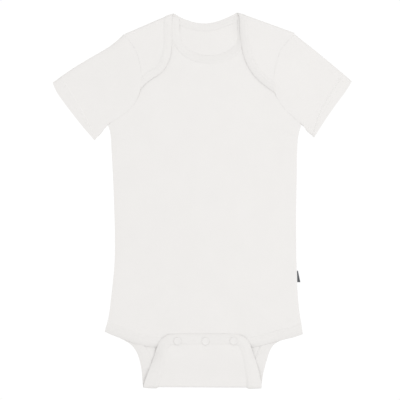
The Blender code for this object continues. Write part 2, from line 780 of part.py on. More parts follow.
def snap(number, across, finish):
    """A closed snap: its joined stud and socket between flap and tab, and its cap on the tab."""
    flap_top = RAISED_REST + BAND
    tab_top = 2 * TAB_RADIUS + TAB_LIFT + SETTLED_PROUD
    socket = [
        (0, 0),
        (SOCKET_RADIUS - ROUNDING, 0),
        (SOCKET_RADIUS, ROUNDING),
        (SOCKET_RADIUS, SOCKET_THICK - ROUNDING),
        (SOCKET_RADIUS - ROUNDING, SOCKET_THICK),
        (0, SOCKET_THICK),
    ]
    cap = [
        (0, 0),
        (SNAP_RADIUS - ROUNDING, 0),
        (SNAP_RADIUS, ROUNDING),
        (SNAP_RADIUS - ROUNDING, CAP_THICK - ROUNDING / 2),
        (SNAP_RADIUS - CAP_RIM, CAP_THICK),
        (SNAP_RADIUS - 2 * CAP_RIM, CAP_THICK - CAP_DISH),
        (0, CAP_THICK - CAP_DISH),
    ]
    turned(f"snap_socket_{number}", socket, (across, SNAP_ROW, flap_top + GAP), finish)
    turned(f"snap_cap_{number}", cap, (across, SNAP_ROW, tab_top + GAP), finish)


def clear_scene():
    for thing in list(bpy.data.objects):
        bpy.data.objects.remove(thing, do_unlink=True)


def main():
    clear_scene()
    jersey = material("white_jersey", (0.86, 0.86, 0.85), 0.9)
    rib = material("white_binding", (0.87, 0.87, 0.86), 0.9)
    enamel = material("white_snap", (0.85, 0.85, 0.84), 0.35)
    tape = material("grey_label_tape", (0.09, 0.09, 0.1), 0.8)

    neck_outer, neck_seam, neck_edge = neck_rails()
    leg_outer, leg_seam, leg_edge = leg_rails()
    panel("back_panel", back_outline(neck_edge, leg_edge), back_cloth, jersey, FOLDS.values())
    binding("neck_binding_back", neck_outer, neck_seam, back_band, rib)
    binding("leg_binding_back", leg_outer, leg_seam, back_band, rib)

    front_neck_outer, front_neck_seam, front_neck_edge = front_rails(FRONT_NECK[::-1], NECK_BAND)
    front_leg_outer, front_leg_seam, front_leg_edge = front_rails(FRONT_LEG, FRONT_LEG_BAND)
    panel("front_panel", front_outline(front_neck_edge, front_leg_edge), front_cloth, jersey)
    binding("neck_binding_front", front_neck_outer, front_neck_seam, front_band, rib)
    binding("leg_binding_front", front_leg_outer, front_leg_seam, front_band, rib)

    for side in ("left", "right"):
        sleeve(side, jersey)
    side_label(tape)
    for number, place in enumerate((-1, 0, 1), start=1):
        snap(number, SNAP_MIDDLE + place * SNAP_SPACING, enamel)


if __name__ == "__main__":
    main()
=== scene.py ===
"""Looks of a baby's short-sleeved bodysuit, laid flat with its front up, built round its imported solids.

Each piece of cloth is read back from its solid: a panel's outline or a binding's two edges, taken to the
flat cut, are drawn as smooth curves, filled with a fine mesh and laid again over the same folds. Sewing,
gathers and creases are added to that form. Lengths are in millimetres until put_mesh() makes them metres.
"Across" is measured from the garment's centre line and "height" from the lowest point of the crotch fold.
"""

import math
from collections import namedtuple

import bpy
import numpy as np
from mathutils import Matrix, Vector
from mathutils.geometry import delaunay_2d_cdt


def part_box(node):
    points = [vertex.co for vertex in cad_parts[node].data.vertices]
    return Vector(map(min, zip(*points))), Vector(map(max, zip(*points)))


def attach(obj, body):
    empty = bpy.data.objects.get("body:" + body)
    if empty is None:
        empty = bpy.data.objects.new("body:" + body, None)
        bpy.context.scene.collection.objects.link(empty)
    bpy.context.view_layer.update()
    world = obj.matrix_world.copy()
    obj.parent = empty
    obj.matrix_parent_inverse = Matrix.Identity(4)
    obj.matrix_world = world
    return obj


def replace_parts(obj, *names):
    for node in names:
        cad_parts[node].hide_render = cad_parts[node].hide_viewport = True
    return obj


bl_info = {
    "name": "Baby bodysuit",
    "version": (1, 0, 0),
    "blender": (4, 5, 0),
    "location": "3D View > Sidebar > Bodysuit",
    "description": "Cloth, sewing, snaps and stage of a baby bodysuit laid flat",
    "category": "Object",
}

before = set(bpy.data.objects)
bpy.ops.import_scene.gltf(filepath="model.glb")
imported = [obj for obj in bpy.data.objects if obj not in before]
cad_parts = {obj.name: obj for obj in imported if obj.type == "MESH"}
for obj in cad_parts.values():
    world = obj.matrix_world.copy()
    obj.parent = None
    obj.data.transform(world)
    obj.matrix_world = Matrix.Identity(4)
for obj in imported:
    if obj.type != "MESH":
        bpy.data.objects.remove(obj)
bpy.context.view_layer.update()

MM = 0.001

# ---- sizes of the solids (mm)
MIDDLE = 219.81  # height of the middle of the part's length
CENTRE_LINE = 2.65  # from the middle of the part's width to the garment's centre line
ORIGIN = np.array((CENTRE_LINE, -MIDDLE, 0.0))  # where across and height are 0, in the part's own axes
CLOTH = 1.1  # jersey wall
BAND = 1.7  # wall of a binding
# the silhouette's lines at the folds, each from one (across, height) to another
SHOULDER = {"left": ((-38.0, 438.3), (-93.8, 414.3)), "right": ((42.0, 438.6), (105.0, 415.8))}
CROTCH = ((-70.0, 0.7), (66.0, 0.0))
LAP_RADIUS, LAP_PROUD = 2.75, 0.3  # outer radius of a lap's fold, and how far its binding stands out
TAB_RADIUS, TAB_PROUD, TAB_LIFT = 2.3, 1.5, 2.4  # the same for the tab, and how far it climbs onto the flap
SETTLED_PROUD = 0.3  # how far a turned-over binding stands out once it lies flat
PROUD_FROM, PROUD_SETTLE = 0.3, 28.0  # angle from which it stands out, and length past the fold to settle
TAB_RAMP = (8.0, 36.0)  # lengths past its fold over which it does
FRONT_REST, RAISED_REST = 1.4, 2.0  # heights on which the front lies: in the body, and on bindings
HIP_RISE = (82.0, 118.0)  # heights over which it comes down off the leg bindings
SHOULDER_RISE = (300.0, 345.0)  # heights over which it climbs onto the shoulder's layers
DOUBLED, DOUBLED_RISE = 1.8, (398.0, 412.0)  # wall of its shoulder, and the heights where it thickens
EDGE_LEVEL, SEAM_LEVEL = 0.3, 0.15  # a binding's edge and seam lines, as shares of its wall

SLEEVE_TOP_FACE = 3.3  # height of a sleeve's upper face away from the armhole
SLEEVE_AT_ARMHOLE = ((0.0, 0.52, 0.66, 1.0), (5.5, 5.4, 3.1, 2.6))  # shares down the armhole, and heights
SETTLED = 0.4  # share of a sleeve's length over which it comes down from the body's layers
SHEET_EDGE = 0.02  # share of a sleeve's width between its edge and the flat of its underside
UNDERSIDE_TOP = 1.0  # a solid sleeve's faces that lie below this are its underside
TUBE_ROUNDING = 0.07  # share of its width over which its edge rounds
HEM, HEM_RISE = 12.0, 0.5  # the turned hem's depth and what it adds to the wall
TUBE_EDGE = 1.8  # wall where the tube folds at its two edges

# ---- how the pieces meet (mm)
CLOSED = 0.285  # how far a seam's gap in the solids, 0.3 mm, is closed
TUCK, TUCK_BESIDE = 0.6, (0.5, 1.0)  # how far a panel runs on under a binding whose seam is this near
LAP_END_REACH, REACH_STEP = 1.6, 0.02  # how far a lap's binding may be drawn on, and in what steps
CLEAR = 0.03  # the gap it leaves to the armhole
FRONT_NECK_REACH = ((4.4, 2.4), (2.0, 4.4))  # how far the front's runs on at each end, at edge and seam
UNDERARM_FULLNESS = 2.8  # how much fuller a sleeve's underside is than its solid's chords
UNDERARM_TO = 0.85  # share of the underside that is fuller
UNDERARM_SKEW = 0.85  # under 1, it is fullest nearer to the armhole

# ---- fineness (mm)
WELD = 0.01  # points closer than this are one
MERGED = 1e-5  # the same within a panel's mesh
CLOTH_GRID = 2.1  # spacing of points inside a panel
EDGE_STEP = 1.5  # spacing of points along an edge
EDGE_CLEAR = 0.6 * EDGE_STEP  # from a panel's edge to the nearest point inside
DENSE_STEP = EDGE_STEP / 4  # spacing of points on a line that distances are measured to
ARMHOLE_STEP = EDGE_STEP / 15  # the same on an armhole
FOLD_ROWS = 12  # rows of points round a fold
RIM_ROWS = 4  # facets round a panel's edge
BAND_STEP = 1.1  # spacing of stations along a binding
CORNER = math.radians(32)  # an outline that turns more than this has a corner there
SLEEVE_CORNER = math.radians(60)  # the same for a sleeve
SLEEVE_KINK = math.radians(25)  # a sleeve's point that turns more than this, and is no corner, is left out
SHARP = math.radians(50)  # faces that meet at more than this are shaded apart
CHUNK = 4000  # points whose distances are worked out at once
TINY = 1e-9  # keeps a division from being by nothing


# ---- curves in the plane


def curve(rows, step):
    """Rows about every step along the smooth curve through the given rows (cubic Hermite pieces)."""
    rows = np.array(rows, float)
    at = lengths(rows)
    slope = np.gradient(rows, at, axis=0)
    wanted = np.linspace(0.0, at[-1], max(2, round(at[-1] / step) + 1))
    k = np.clip(np.searchsorted(at, wanted, side="right") - 1, 0, len(at) - 2)
    span = (at[k + 1] - at[k])[:, None]
    u = (wanted - at[k])[:, None] / span
    return (
        (2 * u**3 - 3 * u**2 + 1) * rows[k]
        + (u**3 - 2 * u**2 + u) * span * slope[k]
        + (3 * u**2 - 2 * u**3) * rows[k + 1]
        + (u**3 - u**2) * span * slope[k + 1]
    )


def lengths(path):
    """Distance along a path in plan, from its start to each of its points."""
    return np.concatenate([[0.0], np.cumsum(np.linalg.norm(np.diff(path[:, :2], axis=0), axis=1))])


def unit(rows):
    """Directions of one length from rows of vectors."""
    return rows / np.maximum(np.linalg.norm(rows, axis=1), TINY)[:, None]


def mix(start, end, share):
    """Start where share is 0, end where it is 1, and in proportion between."""
    return start * (1 - share) + end * share


def at_fractions(path, fractions):
    """Points at fractions of a path's length, going straight on past its ends."""
    length = lengths(path)
    wanted = np.asarray(fractions, float) * length[-1]
    found = np.stack([np.interp(wanted, length, path[:, i]) for i in range(path.shape[1])], axis=1)
    for end, near, beyond in ((0, 1, np.minimum(wanted, 0)), (-1, -2, np.maximum(wanted - length[-1], 0))):
        direction = (path[end] - path[near]) * (1 if end else -1)
        found += beyond[:, None] * direction / np.linalg.norm(direction[:2])
    return found


def eased(x, start, end):
    """0 before start, 1 after end, and a smooth rise between."""
    t = np.clip((x - start) / (end - start), 0.0, 1.0)
    return t * t * (3 - 2 * t)


def area_of(loop):
    """Area inside a loop, negative if it runs clockwise."""
    x, y = loop[:, 0], loop[:, 1]
    return (x * np.roll(y, -1) - np.roll(x, -1) * y).sum() / 2


def inside(points, loop):
    """Even-odd test of points against a closed loop."""
    x1, y1 = loop[:, 0], loop[:, 1]
    x2, y2 = np.roll(x1, -1), np.roll(y1, -1)
    found = []
    for start in range(0, len(points), CHUNK):
        x, y = points[start : start + CHUNK, 0, None], points[start : start + CHUNK, 1, None]
        reached = (x2 - x1) * (y - y1) / np.where(y1 == y2, TINY, y2 - y1) + x1
        crosses = ((y1 > y) != (y2 > y)) & (x < reached)
        found.append(crosses.sum(axis=1) % 2 == 1)
    return np.concatenate(found)


def nearest(points, path):
    """Each point's distance from a dense path, and how far along it the nearest place is."""
    length = lengths(path)
    gap, along = [], []
    for start in range(0, len(points), CHUNK):
        apart = points[start : start + CHUNK, None, :2] - path[None, :, :2]
        apart = (apart**2).sum(axis=2)
        closest = apart.argmin(axis=1)
        gap.append(np.sqrt(apart[np.arange(len(closest)), closest]))
        along.append(length[closest])
    return np.concatenate(gap), np.concatenate(along)


# ---- folds of the back panel

# out points away from the garment across the fold's line, proud is how far a binding stands out there,
# and lift is how far the turned cloth climbs over TAB_RAMP
Fold = namedtuple("Fold", "name origin out half_length radius proud lift")


def fold_along(name, line, radius, proud, lift):
    """A fold whose binding's outermost points run along a line of the silhouette."""
    start, end = (np.array(edge) for edge in line)
    length = np.linalg.norm(end - start)
    out = np.array([start[1] - end[1], end[0] - start[0]]) / length
    out *= np.sign((start - (0.0, MIDDLE)) @ out)
    return Fold(name, (start + end) / 2 - out * (radius + proud), out, length / 2, radius, proud, lift)


FOLDS = (
    fold_along("left", SHOULDER["left"], LAP_RADIUS, LAP_PROUD, 0.0),
    fold_along("right", SHOULDER["right"], LAP_RADIUS, LAP_PROUD, 0.0),
    fold_along("crotch", CROTCH, TAB_RADIUS, TAB_PROUD, TAB_LIFT),
)


def past_line(points, fold):
    """How far points lie past a fold's line, and whether they are at that fold's corner."""
    upper = points[:, 1] > MIDDLE
    corner = {"left": upper & (points[:, 0] < 0), "right": upper & (points[:, 0] >= 0), "crotch": ~upper}
    return (points[:, :2] - fold.origin) @ fold.out, corner[fold.name]


def bend(flat, depth):
    """Flat cut to the laid garment; depth is measured into the cloth from the outer face."""
    place = np.column_stack([flat[:, :2], np.broadcast_to(depth, len(flat))])
    for fold in FOLDS:
        distance, own = past_line(flat, fold)
        turned = own & (distance > 0)
        angle = np.minimum(distance / fold.radius, math.pi)
        past = np.maximum(distance - math.pi * fold.radius, 0.0)
        reach = (fold.radius - depth) * np.sin(angle) - past
        height = fold.radius - (fold.radius - depth) * np.cos(angle) + fold.lift * eased(past, *TAB_RAMP)
        moved = flat[:, :2] + np.outer(reach - distance, fold.out)
        place[turned] = np.column_stack([moved, height])[turned]
    return place


def unbend(points):
    """The laid garment back to the flat cut, with the depth of each point."""
    flat, depth = points[:, :2].copy(), points[:, 2].copy()
    for fold in FOLDS:
        reach, own = past_line(points, fold)
        turned = own & ((reach > 0) | (points[:, 2] > fold.radius))
        past = np.maximum(-reach, 0.0)
        up = fold.radius - points[:, 2]
        distance = fold.radius * np.arctan2(np.maximum(reach, 0.0), up) + past
        on_top = 2 * fold.radius + fold.lift * eased(past, *TAB_RAMP) - points[:, 2]
        level = np.where(reach > 0, fold.radius - np.hypot(reach, up), on_top)
        moved = points[:, :2] + np.outer(distance - reach, fold.out)
        flat[turned], depth[turned] = moved[turned], level[turned]
    return flat, depth


def proud(flat):
    """How far a binding stands out past the cloth, which it does where it is turned over."""
    stands = np.zeros(len(flat))
    for fold in FOLDS:
        distance, own = past_line(flat, fold)
        quarter, half = math.pi * fold.radius / 2, math.pi * fold.radius
        out = fold.proud * eased(distance, PROUD_FROM * fold.radius, quarter)
        back = (fold.proud - SETTLED_PROUD) * eased(distance, half, half + PROUD_SETTLE)
        stands = np.where(own, out - back, stands)
    return stands


# ---- layers

# lay takes the flat cut, and shares of the way through the wall, to the garment; read takes them back
Layer = namedtuple("Layer", "wall lay read")


def back_layer(wall, banded):
    """A layer that turns over the folds; a banded one stands out past the cloth there."""

    def stands(flat):
        return proud(flat) if banded else 0.0

    def lay(flat, through):
        return bend(flat, through * wall - stands(flat))

    def read(points):
        flat, depth = unbend(points)
        return flat, (depth + stands(flat)) / wall

    return Layer(wall, lay, read)


def front_layer(wall, doubled):
    """A layer that lies on the back, with another wall at its shoulder."""

    def rest(points):
        raised = 1 - eased(points[:, 1], *HIP_RISE) + eased(points[:, 1], *SHOULDER_RISE)
        return mix(FRONT_REST, RAISED_REST, raised)

    def thick(points):
        return mix(wall, doubled, eased(points[:, 1], *DOUBLED_RISE))

    def lay(flat, through):
        return np.column_stack([flat[:, :2], rest(flat) + through * thick(flat)])

    def read(points):
        return points[:, :2], (points[:, 2] - rest(points)) / thick(points)

    return Layer(wall, lay, read)


BACK_CLOTH = back_layer(CLOTH, False)
BACK_BAND = back_layer(BAND, True)
FRONT_CLOTH = front_layer(CLOTH, DOUBLED)
FRONT_BAND = front_layer(BAND, BAND)

# ---- reading the solids


def welded(name):
    """A solid's points about the garment's own axes, merged where they meet, and its triangles."""
    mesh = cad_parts[name].data
    mesh.calc_loop_triangles()
    points = np.empty(3 * len(mesh.vertices), np.float32)
    mesh.vertices.foreach_get("co", points)
    corners = np.empty(3 * len(mesh.loop_triangles), np.int32)
    mesh.loop_triangles.foreach_get("vertices", corners)
    points = points.reshape(-1, 3) / MM - ORIGIN
    _, first, index = np.unique(np.round(points / WELD), axis=0, return_index=True, return_inverse=True)
    triangles = index.reshape(-1)[corners].reshape(-1, 3)
    whole = (triangles != np.roll(triangles, 1, axis=1)).all(axis=1)
    return points[first], triangles[whole]


def sides_in(triangles):
    """Every triangle's three sides, as pairs of points in order round it."""
    return np.concatenate([triangles[:, [0, 1]], triangles[:, [1, 2]], triangles[:, [2, 0]]])


def boundary(triangles):
    """The closed loop of points round a patch of triangles."""
    known = set(map(tuple, sides_in(triangles).tolist()))
    following = {i: j for i, j in known if (j, i) not in known}
    loop = [min(following)]
    while following[loop[-1]] != loop[0]:
        loop.append(following[loop[-1]])
        if len(loop) > len(following):
            raise ValueError("a patch of a solid has no single outline")
    return np.array(loop)


def sides_of(loop, step, corner=CORNER, kink=CORNER):
    """An anticlockwise loop as dense smooth sides between its corners, without the points that only kink."""
    if area_of(loop) < 0:
        loop = loop[::-1]
    before, after = loop - np.roll(loop, 1, axis=0), np.roll(loop, -1, axis=0) - loop
    cross = before[:, 0] * after[:, 1] - before[:, 1] * after[:, 0]
    turn = np.abs(np.arctan2(cross, (before * after).sum(axis=1)))
    kept = (turn <= kink) | (turn > corner)
    loop, corners = loop[kept], np.flatnonzero(turn[kept] > corner)
    loop, corners = np.roll(loop, -corners[0], axis=0), corners - corners[0]
    closed = np.concatenate([loop, loop[:1]])
    return [curve(closed[a : b + 1], step) for a, b in zip(corners, [*corners[1:], len(loop)])]


def panel_outline(name, layer):
    """The flat outline of a panel's solid."""
    points, triangles = welded(name)
    flat, through = layer.read(points)
    return flat[boundary(triangles[(through[triangles] < 0.5).all(axis=1)])]


def line_at(flat, triangles, on):
    """The points marked on, in their order along a binding."""
    sides = sides_in(triangles)
    beside = {}
    for i, j in sides[on[sides].all(axis=1)].tolist():
        beside.setdefault(i, set()).add(j)
        beside.setdefault(j, set()).add(i)
    path = [min(i for i, near in beside.items() if len(near) == 1)]
    while len(path) < len(beside):
        path.append(min(beside[path[-1]] - set(path[-2:])))
    return flat[path]


def band_rails(name, layer):
    """A binding's edge and seam lines in the flat cut, with the seam to the left of the edge."""
    points, triangles = welded(name)
    flat, through = layer.read(points)
    near = (EDGE_LEVEL - SEAM_LEVEL) / 3
    edge = line_at(flat, triangles, np.abs(through - EDGE_LEVEL) < near)
    seam = line_at(flat, triangles, np.abs(through - SEAM_LEVEL) < near)
    if np.linalg.norm(edge[0] - seam[0]) > np.linalg.norm(edge[0] - seam[-1]):
        seam = seam[::-1]
    middle = len(edge) // 2
    along, over = edge[middle + 1] - edge[middle], seam[middle] - edge[middle]
    if along[0] * over[1] - along[1] * over[0] < 0:
        edge, seam = edge[::-1], seam[::-1]
    both = curve(np.column_stack([edge, seam]), BAND_STEP)
    return both[:, :2], both[:, 2:]


def sleeve_patch(name):
    """A sleeve's sides in plan: armhole and cuff from the top down, top and underside from the armhole."""
    points, triangles = welded(name)
    sheet = triangles[(points[triangles][:, :, 2] < UNDERSIDE_TOP).all(axis=1)]
    sides = sides_of(points[boundary(sheet), :2], EDGE_STEP, SLEEVE_CORNER, SLEEVE_KINK)
    start = int(np.argmin([np.abs(side[:, 0]).mean() for side in sides]))
    arm, one, cuff, other = (sides[(start + i) % len(sides)] for i in range(4))
    arm, cuff = (side if side[0, 1] > side[-1, 1] else side[::-1] for side in (arm, cuff))
    top, under = sorted((one, other), key=lambda side: -side[:, 1].mean())
    top, under = (side if abs(side[0, 0]) < abs(side[-1, 0]) else side[::-1] for side in (top, under))
    along = np.gradient(arm, axis=0)
    inward = unit(np.stack([-along[:, 1], along[:, 0]], axis=1))
    inward *= np.sign((arm[len(arm) // 2] - cuff[len(cuff) // 2]) @ inward[len(arm) // 2])
    arm = arm + inward * CLOSED
    share = lengths(under) / lengths(under)[-1]
    chord = under[-1] - under[0]
    down = np.array([chord[1], -chord[0]]) / np.linalg.norm(chord)
    down *= -np.sign(down[1])
    fuller = UNDERARM_FULLNESS * np.sin(math.pi * np.clip(share / UNDERARM_TO, 0, 1) ** UNDERARM_SKEW)
    under = under + fuller[:, None] * down
    top[0], under[0] = arm[0], arm[-1]
    return arm, cuff, top, under


LAYERS = {
    "back_panel": BACK_CLOTH,
    "front_panel": FRONT_CLOTH,
    "neck_binding_back": BACK_BAND,
    "neck_binding_front": FRONT_BAND,
    "leg_binding_back": BACK_BAND,
    "leg_binding_front": FRONT_BAND,
}
BINDINGS = {name: band_rails(name, layer) for name, layer in LAYERS.items() if "binding" in name}
OUTLINES = {name: panel_outline(name, LAYERS[name]) for name in ("back_panel", "front_panel")}
SLEEVES = {name: sleeve_patch(name) for name in ("sleeve_left", "sleeve_right")}


def heading(line, end):
    """The direction straight on from a line's end, which is 0 or -1."""
    along = line[end] - line[1 if end == 0 else -2]
    return along / np.linalg.norm(along)


def reach_to(line, end, target):
    """How far a back binding's line goes straight on before it comes to another line of the laid garment."""
    reach = np.arange(0, LAP_END_REACH, REACH_STEP)
    laid = BACK_BAND.lay(line[end] + reach[:, None] * heading(line, end), 0.5)
    gap = nearest(laid, target)[0]
    return reach[np.argmax(gap < CLEAR) if (gap < CLEAR).any() else gap.argmin()]


def move_corner(name, old, new):
    """Moves the point of a panel's outline nearest to one place as far as from there to another."""
    outline = OUTLINES[name]
    outline[np.linalg.norm(outline - old, axis=1).argmin()] += new - old


def join_laps():
    """Runs the back neck binding's ends on to the armholes, with the back panel's corners at its seam."""
    edge, seam = BINDINGS["neck_binding_back"]
    for line in (edge, seam):
        for end in (0, -1):
            side = "left" if line[end, 0] < 0 else "right"
            armhole = curve(SLEEVES[f"sleeve_{side}"][0], ARMHOLE_STEP)
            joined = line[end] + heading(line, end) * reach_to(line, end, armhole)
            if line is seam:
                move_corner("back_panel", line[end], joined)
            line[end] = joined


def join_front_neck():
    """Runs the front neck binding's ends on inside the shoulder folds."""
    edge, seam = BINDINGS["neck_binding_front"]
    for end, reaches in zip((0, -1), FRONT_NECK_REACH):
        for line, reach in zip((edge, seam), reaches):
            line[end] += heading(line, end) * reach


def join_front_legs():
    """Brings the ends of the front leg binding's seam, and the panel's corners, to the back's."""
    (_, seam), (_, under) = BINDINGS["leg_binding_front"], BINDINGS["leg_binding_back"]
    for end in (0, -1):
        joined = under[0] if under[0, 0] * seam[end, 0] > 0 else under[-1]
        move_corner("front_panel", seam[end], joined)
        seam[end] = joined


join_laps()
join_front_neck()
join_front_legs()


def band_width(name):
    """A binding's width, as it is along most of its length."""
    edge, seam = BINDINGS[name]
    return float(np.median(np.linalg.norm(seam - edge, axis=1)))


def sleeve_length(name):
    """From the middle of a sleeve's armhole to the middle of its cuff."""
    arm, cuff, _, _ = SLEEVES[name]
    return np.linalg.norm(cuff[len(cuff) // 2] - arm[len(arm) // 2])


# ---- settings


def amount_of(name, amount, description, **units):
    """A setting that is a number, never below 0."""
    return bpy.props.FloatProperty(name=name, description=description, default=amount, min=0.0, **units)


def length_of(name, millimetres, description):
    return amount_of(name, millimetres * MM, description, subtype="DISTANCE", unit="LENGTH")


def colour_of(name, code, description):
    """A setting that is a colour, from its sRGB hex code."""
    parts = (int(code[i : i + 2], 16) / 255 for i in (0, 2, 4))
    linear = [part / 12.92 if part <= 0.04045 else ((part + 0.055) / 1.055) ** 2.4 for part in parts]
    return bpy.props.FloatVectorProperty(
        name=name, description=description, default=(*linear, 1.0), min=0.0, max=1.0, size=4, subtype="COLOR"
    )


class BodysuitSewing(bpy.types.PropertyGroup):
    stitch: length_of("Stitch", 2.6, "Length of one stitch")
    gap: length_of("Stitch gap", 0.6, "Gap between stitches, where the thread goes down")
    thread: length_of("Thread", 0.36, "Diameter of the sewing thread")
    first_row: length_of("First row", 1.3, "From a binding's seam to its first row of stitches")
    row_gap: length_of("Row spacing", 3.2, "Between the two rows of a cover stitch")
    sink: length_of("Sink", 0.1, "How deep a row of stitches is drawn into the cloth")
    gather: length_of("Gather", 0.07, "Height of the small waves that a seam draws up")
    wave: length_of("Gather spacing", 7.0, "Spacing of those waves")


class BodysuitColours(bpy.types.PropertyGroup):
    jersey: colour_of("Jersey", "E6E4E2", "Bleached cotton jersey")
    binding: colour_of("Binding", "E5E3E1", "Bleached cotton rib, doubled over the edge")
    thread: colour_of("Thread", "E4E3E1", "Polyester sewing thread")
    snap: colour_of("Snaps", "E3E1DF", "Enamelled snap caps")
    label: colour_of("Label", "4A4C50", "Woven side tape")


class BodysuitStage(bpy.types.PropertyGroup):
    height: length_of("Camera height", 2200, "Camera above the floor")
    width: length_of("Picture width", 467.2, "Width of floor that the picture takes in")
    dome: amount_of("Dome", 0.778, "Radiance of the white dome")
    lamp: amount_of("Lamp", 13.1, "Power of the soft overhead lamp", unit="POWER")


# ---- drape

# across and height are its middle, and turn its direction in degrees; a negative rise is a trough
Crease = namedtuple("Crease", "across height turn length width rise")

CREASES = (  # the front's: at the underarms, on the sleeves, down the chest and belly, and above the legs
    Crease(-104, 300, 4, 42, 3.4, 0.55),
    Crease(-96, 293, -6, 34, 4.0, 0.35),
    Crease(101, 303, -22, 36, 3.6, 0.50),
    Crease(93, 291, -8, 30, 4.4, 0.30),
    Crease(-128, 331, -38, 58, 6.0, 0.35),
    Crease(128, 336, 36, 52, 6.5, 0.32),
    Crease(-148, 345, -44, 34, 5.0, 0.25),
    Crease(-62, 318, 62, 66, 9.0, 0.22),
    Crease(66, 322, -58, 58, 10.0, 0.20),
    Crease(-30, 240, 84, 120, 14.0, 0.22),
    Crease(38, 212, 97, 140, 16.0, 0.20),
    Crease(4, 140, 88, 90, 13.0, 0.18),
    Crease(-70, 112, 34, 70, 8.0, 0.26),
    Crease(74, 108, -36, 64, 8.5, 0.24),
    Crease(-42, 90, 58, 40, 5.0, 0.24),
    Crease(45, 92, -60, 36, 5.0, 0.22),
    # troughs beside the laps' edges
    Crease(-33, 424, 87, 66, 6.0, -1.1),
    Crease(36.5, 420, 92, 74, 5.0, -1.15),
    # where the snaps draw the tab in
    Crease(-31.7, 50, 6, 28, 7.0, -1.1),
    Crease(1, 53, 0, 20, 5.0, -0.4),
    Crease(34.5, 50, -14, 34, 7.5, -1.05),
)
UNDER_CREASES = (  # the back's, which lift it off the floor
    Crease(-98, 296, 12, 50, 5.0, 0.6),
    Crease(100, 300, -16, 44, 4.6, 0.7),
    Crease(-46, 330, 38, 70, 8.0, 0.45),
    Crease(52, 322, -44, 64, 9.0, 0.5),
    Crease(-12, 232, 82, 150, 12.0, 0.5),
    Crease(44, 180, 100, 110, 11.0, 0.4),
    Crease(-60, 96, 40, 72, 7.0, 0.5),
    Crease(62, 90, -34, 60, 7.5, 0.45),
    Crease(6, 48, 4, 80, 9.0, 0.35),
)


def creased(points, rows):
    """How far creases raise the cloth: a bell across each one's line, faded out along it."""
    raised = np.zeros(len(points))
    for row in rows:
        turn = math.radians(row.turn)
        x, y = points[:, 0] - row.across, points[:, 1] - row.height
        along = (x * math.cos(turn) + y * math.sin(turn)) / (row.length / 2)
        beside = (y * math.cos(turn) - x * math.sin(turn)) / row.width
        raised += row.rise * np.exp(-2 * beside**2) * np.clip(1 - along**2, 0, None) ** 1.5
    return raised


def settled(points):
    """Laid points with the creases: the back's lift all the cloth, the front's what lies off the floor."""
    share = np.clip(points[:, 2] / (CLOTH + FRONT_REST / 2), 0.0, 1.0)
    moved = points.copy()
    moved[:, 2] += creased(points, CREASES) * share + creased(points, UNDER_CREASES)
    return moved


# ---- meshes


def outward(points, groups):
    """Groups of a closed shell's faces, all turned over if its volume comes out negative."""
    volume = 0.0
    for faces in groups:
        first = points[faces[:, 0]]
        for second in range(1, faces.shape[1] - 1):
            volume += (np.cross(first, points[faces[:, second]]) * points[faces[:, second + 1]]).sum()
    return groups if volume > 0 else [faces[:, ::-1] for faces in groups]


def put(name, data):
    """A new object in the scene."""
    made = bpy.data.objects.new(name, data)
    bpy.context.scene.collection.objects.link(made)
    return made


def put_mesh(name, points, groups, finish, uv=None):
    """A piece riding on the garment, from points in mm, groups of faces, and for each point a uv in mm."""
    faces = [face for group in outward(points, groups) for face in group.tolist()]
    mesh = bpy.data.meshes.new(name)
    mesh.from_pydata((points + ORIGIN) * MM, [], faces)
    if uv is not None:
        corners = np.empty(len(mesh.loops), np.int32)
        mesh.loops.foreach_get("vertex_index", corners)
        mesh.uv_layers.new(name="Millimetres").data.foreach_set("uv", uv[corners].astype(np.float32).ravel())
    mesh.shade_smooth()
    mesh.set_sharp_from_angle(angle=SHARP)
    mesh.materials.append(finish)
    piece = put(name, mesh)
    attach(piece, "root")
    return piece


def tube_faces(rings, size):
    """Quads over closed rings of equal size laid one after another."""
    start = np.arange(rings - 1)[:, None] * size
    first = np.arange(size)[None, :]
    second = (first + 1) % size
    quads = [start + first, start + second, start + size + second, start + size + first]
    return np.stack(quads, axis=-1).reshape(-1, 4)


def bridge(low, high):
    """Quads between two closed rings, given as the numbers of their points."""
    return np.stack([low, np.roll(low, -1), np.roll(high, -1), high], axis=1)


def fan(middle, ring):
    """Triangles from one point to a closed ring."""
    return np.stack([np.full(len(ring), middle), ring, np.roll(ring, -1)], axis=1)


def closed_tube(rings, size):
    """Faces of a tube of closed rings: its wall, and one over each end."""
    ring = np.arange(size)[None]
    return [tube_faces(rings, size), ring[:, ::-1], ring + (rings - 1) * size]


def loop_normals(loop):
    """Directions out of an anticlockwise loop, at its points."""
    along = np.roll(loop, -1, axis=0) - np.roll(loop, 1, axis=0)
    return unit(np.stack([along[:, 1], -along[:, 0]], axis=1))


def hexagonal(low, high, step):
    """Points of a hexagonal grid that covers a rectangle."""
    rows = np.arange(low[1], high[1], step * math.sqrt(0.75))
    shift = (np.arange(len(rows)) % 2) * step / 2
    x = np.arange(low[0], high[0], step)[None, :] + shift[:, None]
    y = np.repeat(rows[:, None], x.shape[1], axis=1)
    return np.stack([x, y], axis=-1).reshape(-1, 2)


# ---- panels

RIM = 0.05  # how far in from its outline a panel's edge begins to round
DIP_REACH = 5.0  # how far from its side seams the front comes down to the back
DIP_BEYOND = 95.0  # how far across those seams are, at least
GATHER_REACH = 5.0  # how far from a seam its gathers die out

# how far waves come early or late, their least height as a share, and the mm of seam over which each changes
Ripple = namedtuple("Ripple", "wander least wander_over least_over")
PANEL_RIPPLE = Ripple(1.7, 0.2, 16.1, 19.0)
BAND_RIPPLE = Ripple(1.9, 0.4, 13.0, 29.0)
BAND_WAVE = 0.8  # length of a binding's waves, as a share of a panel's


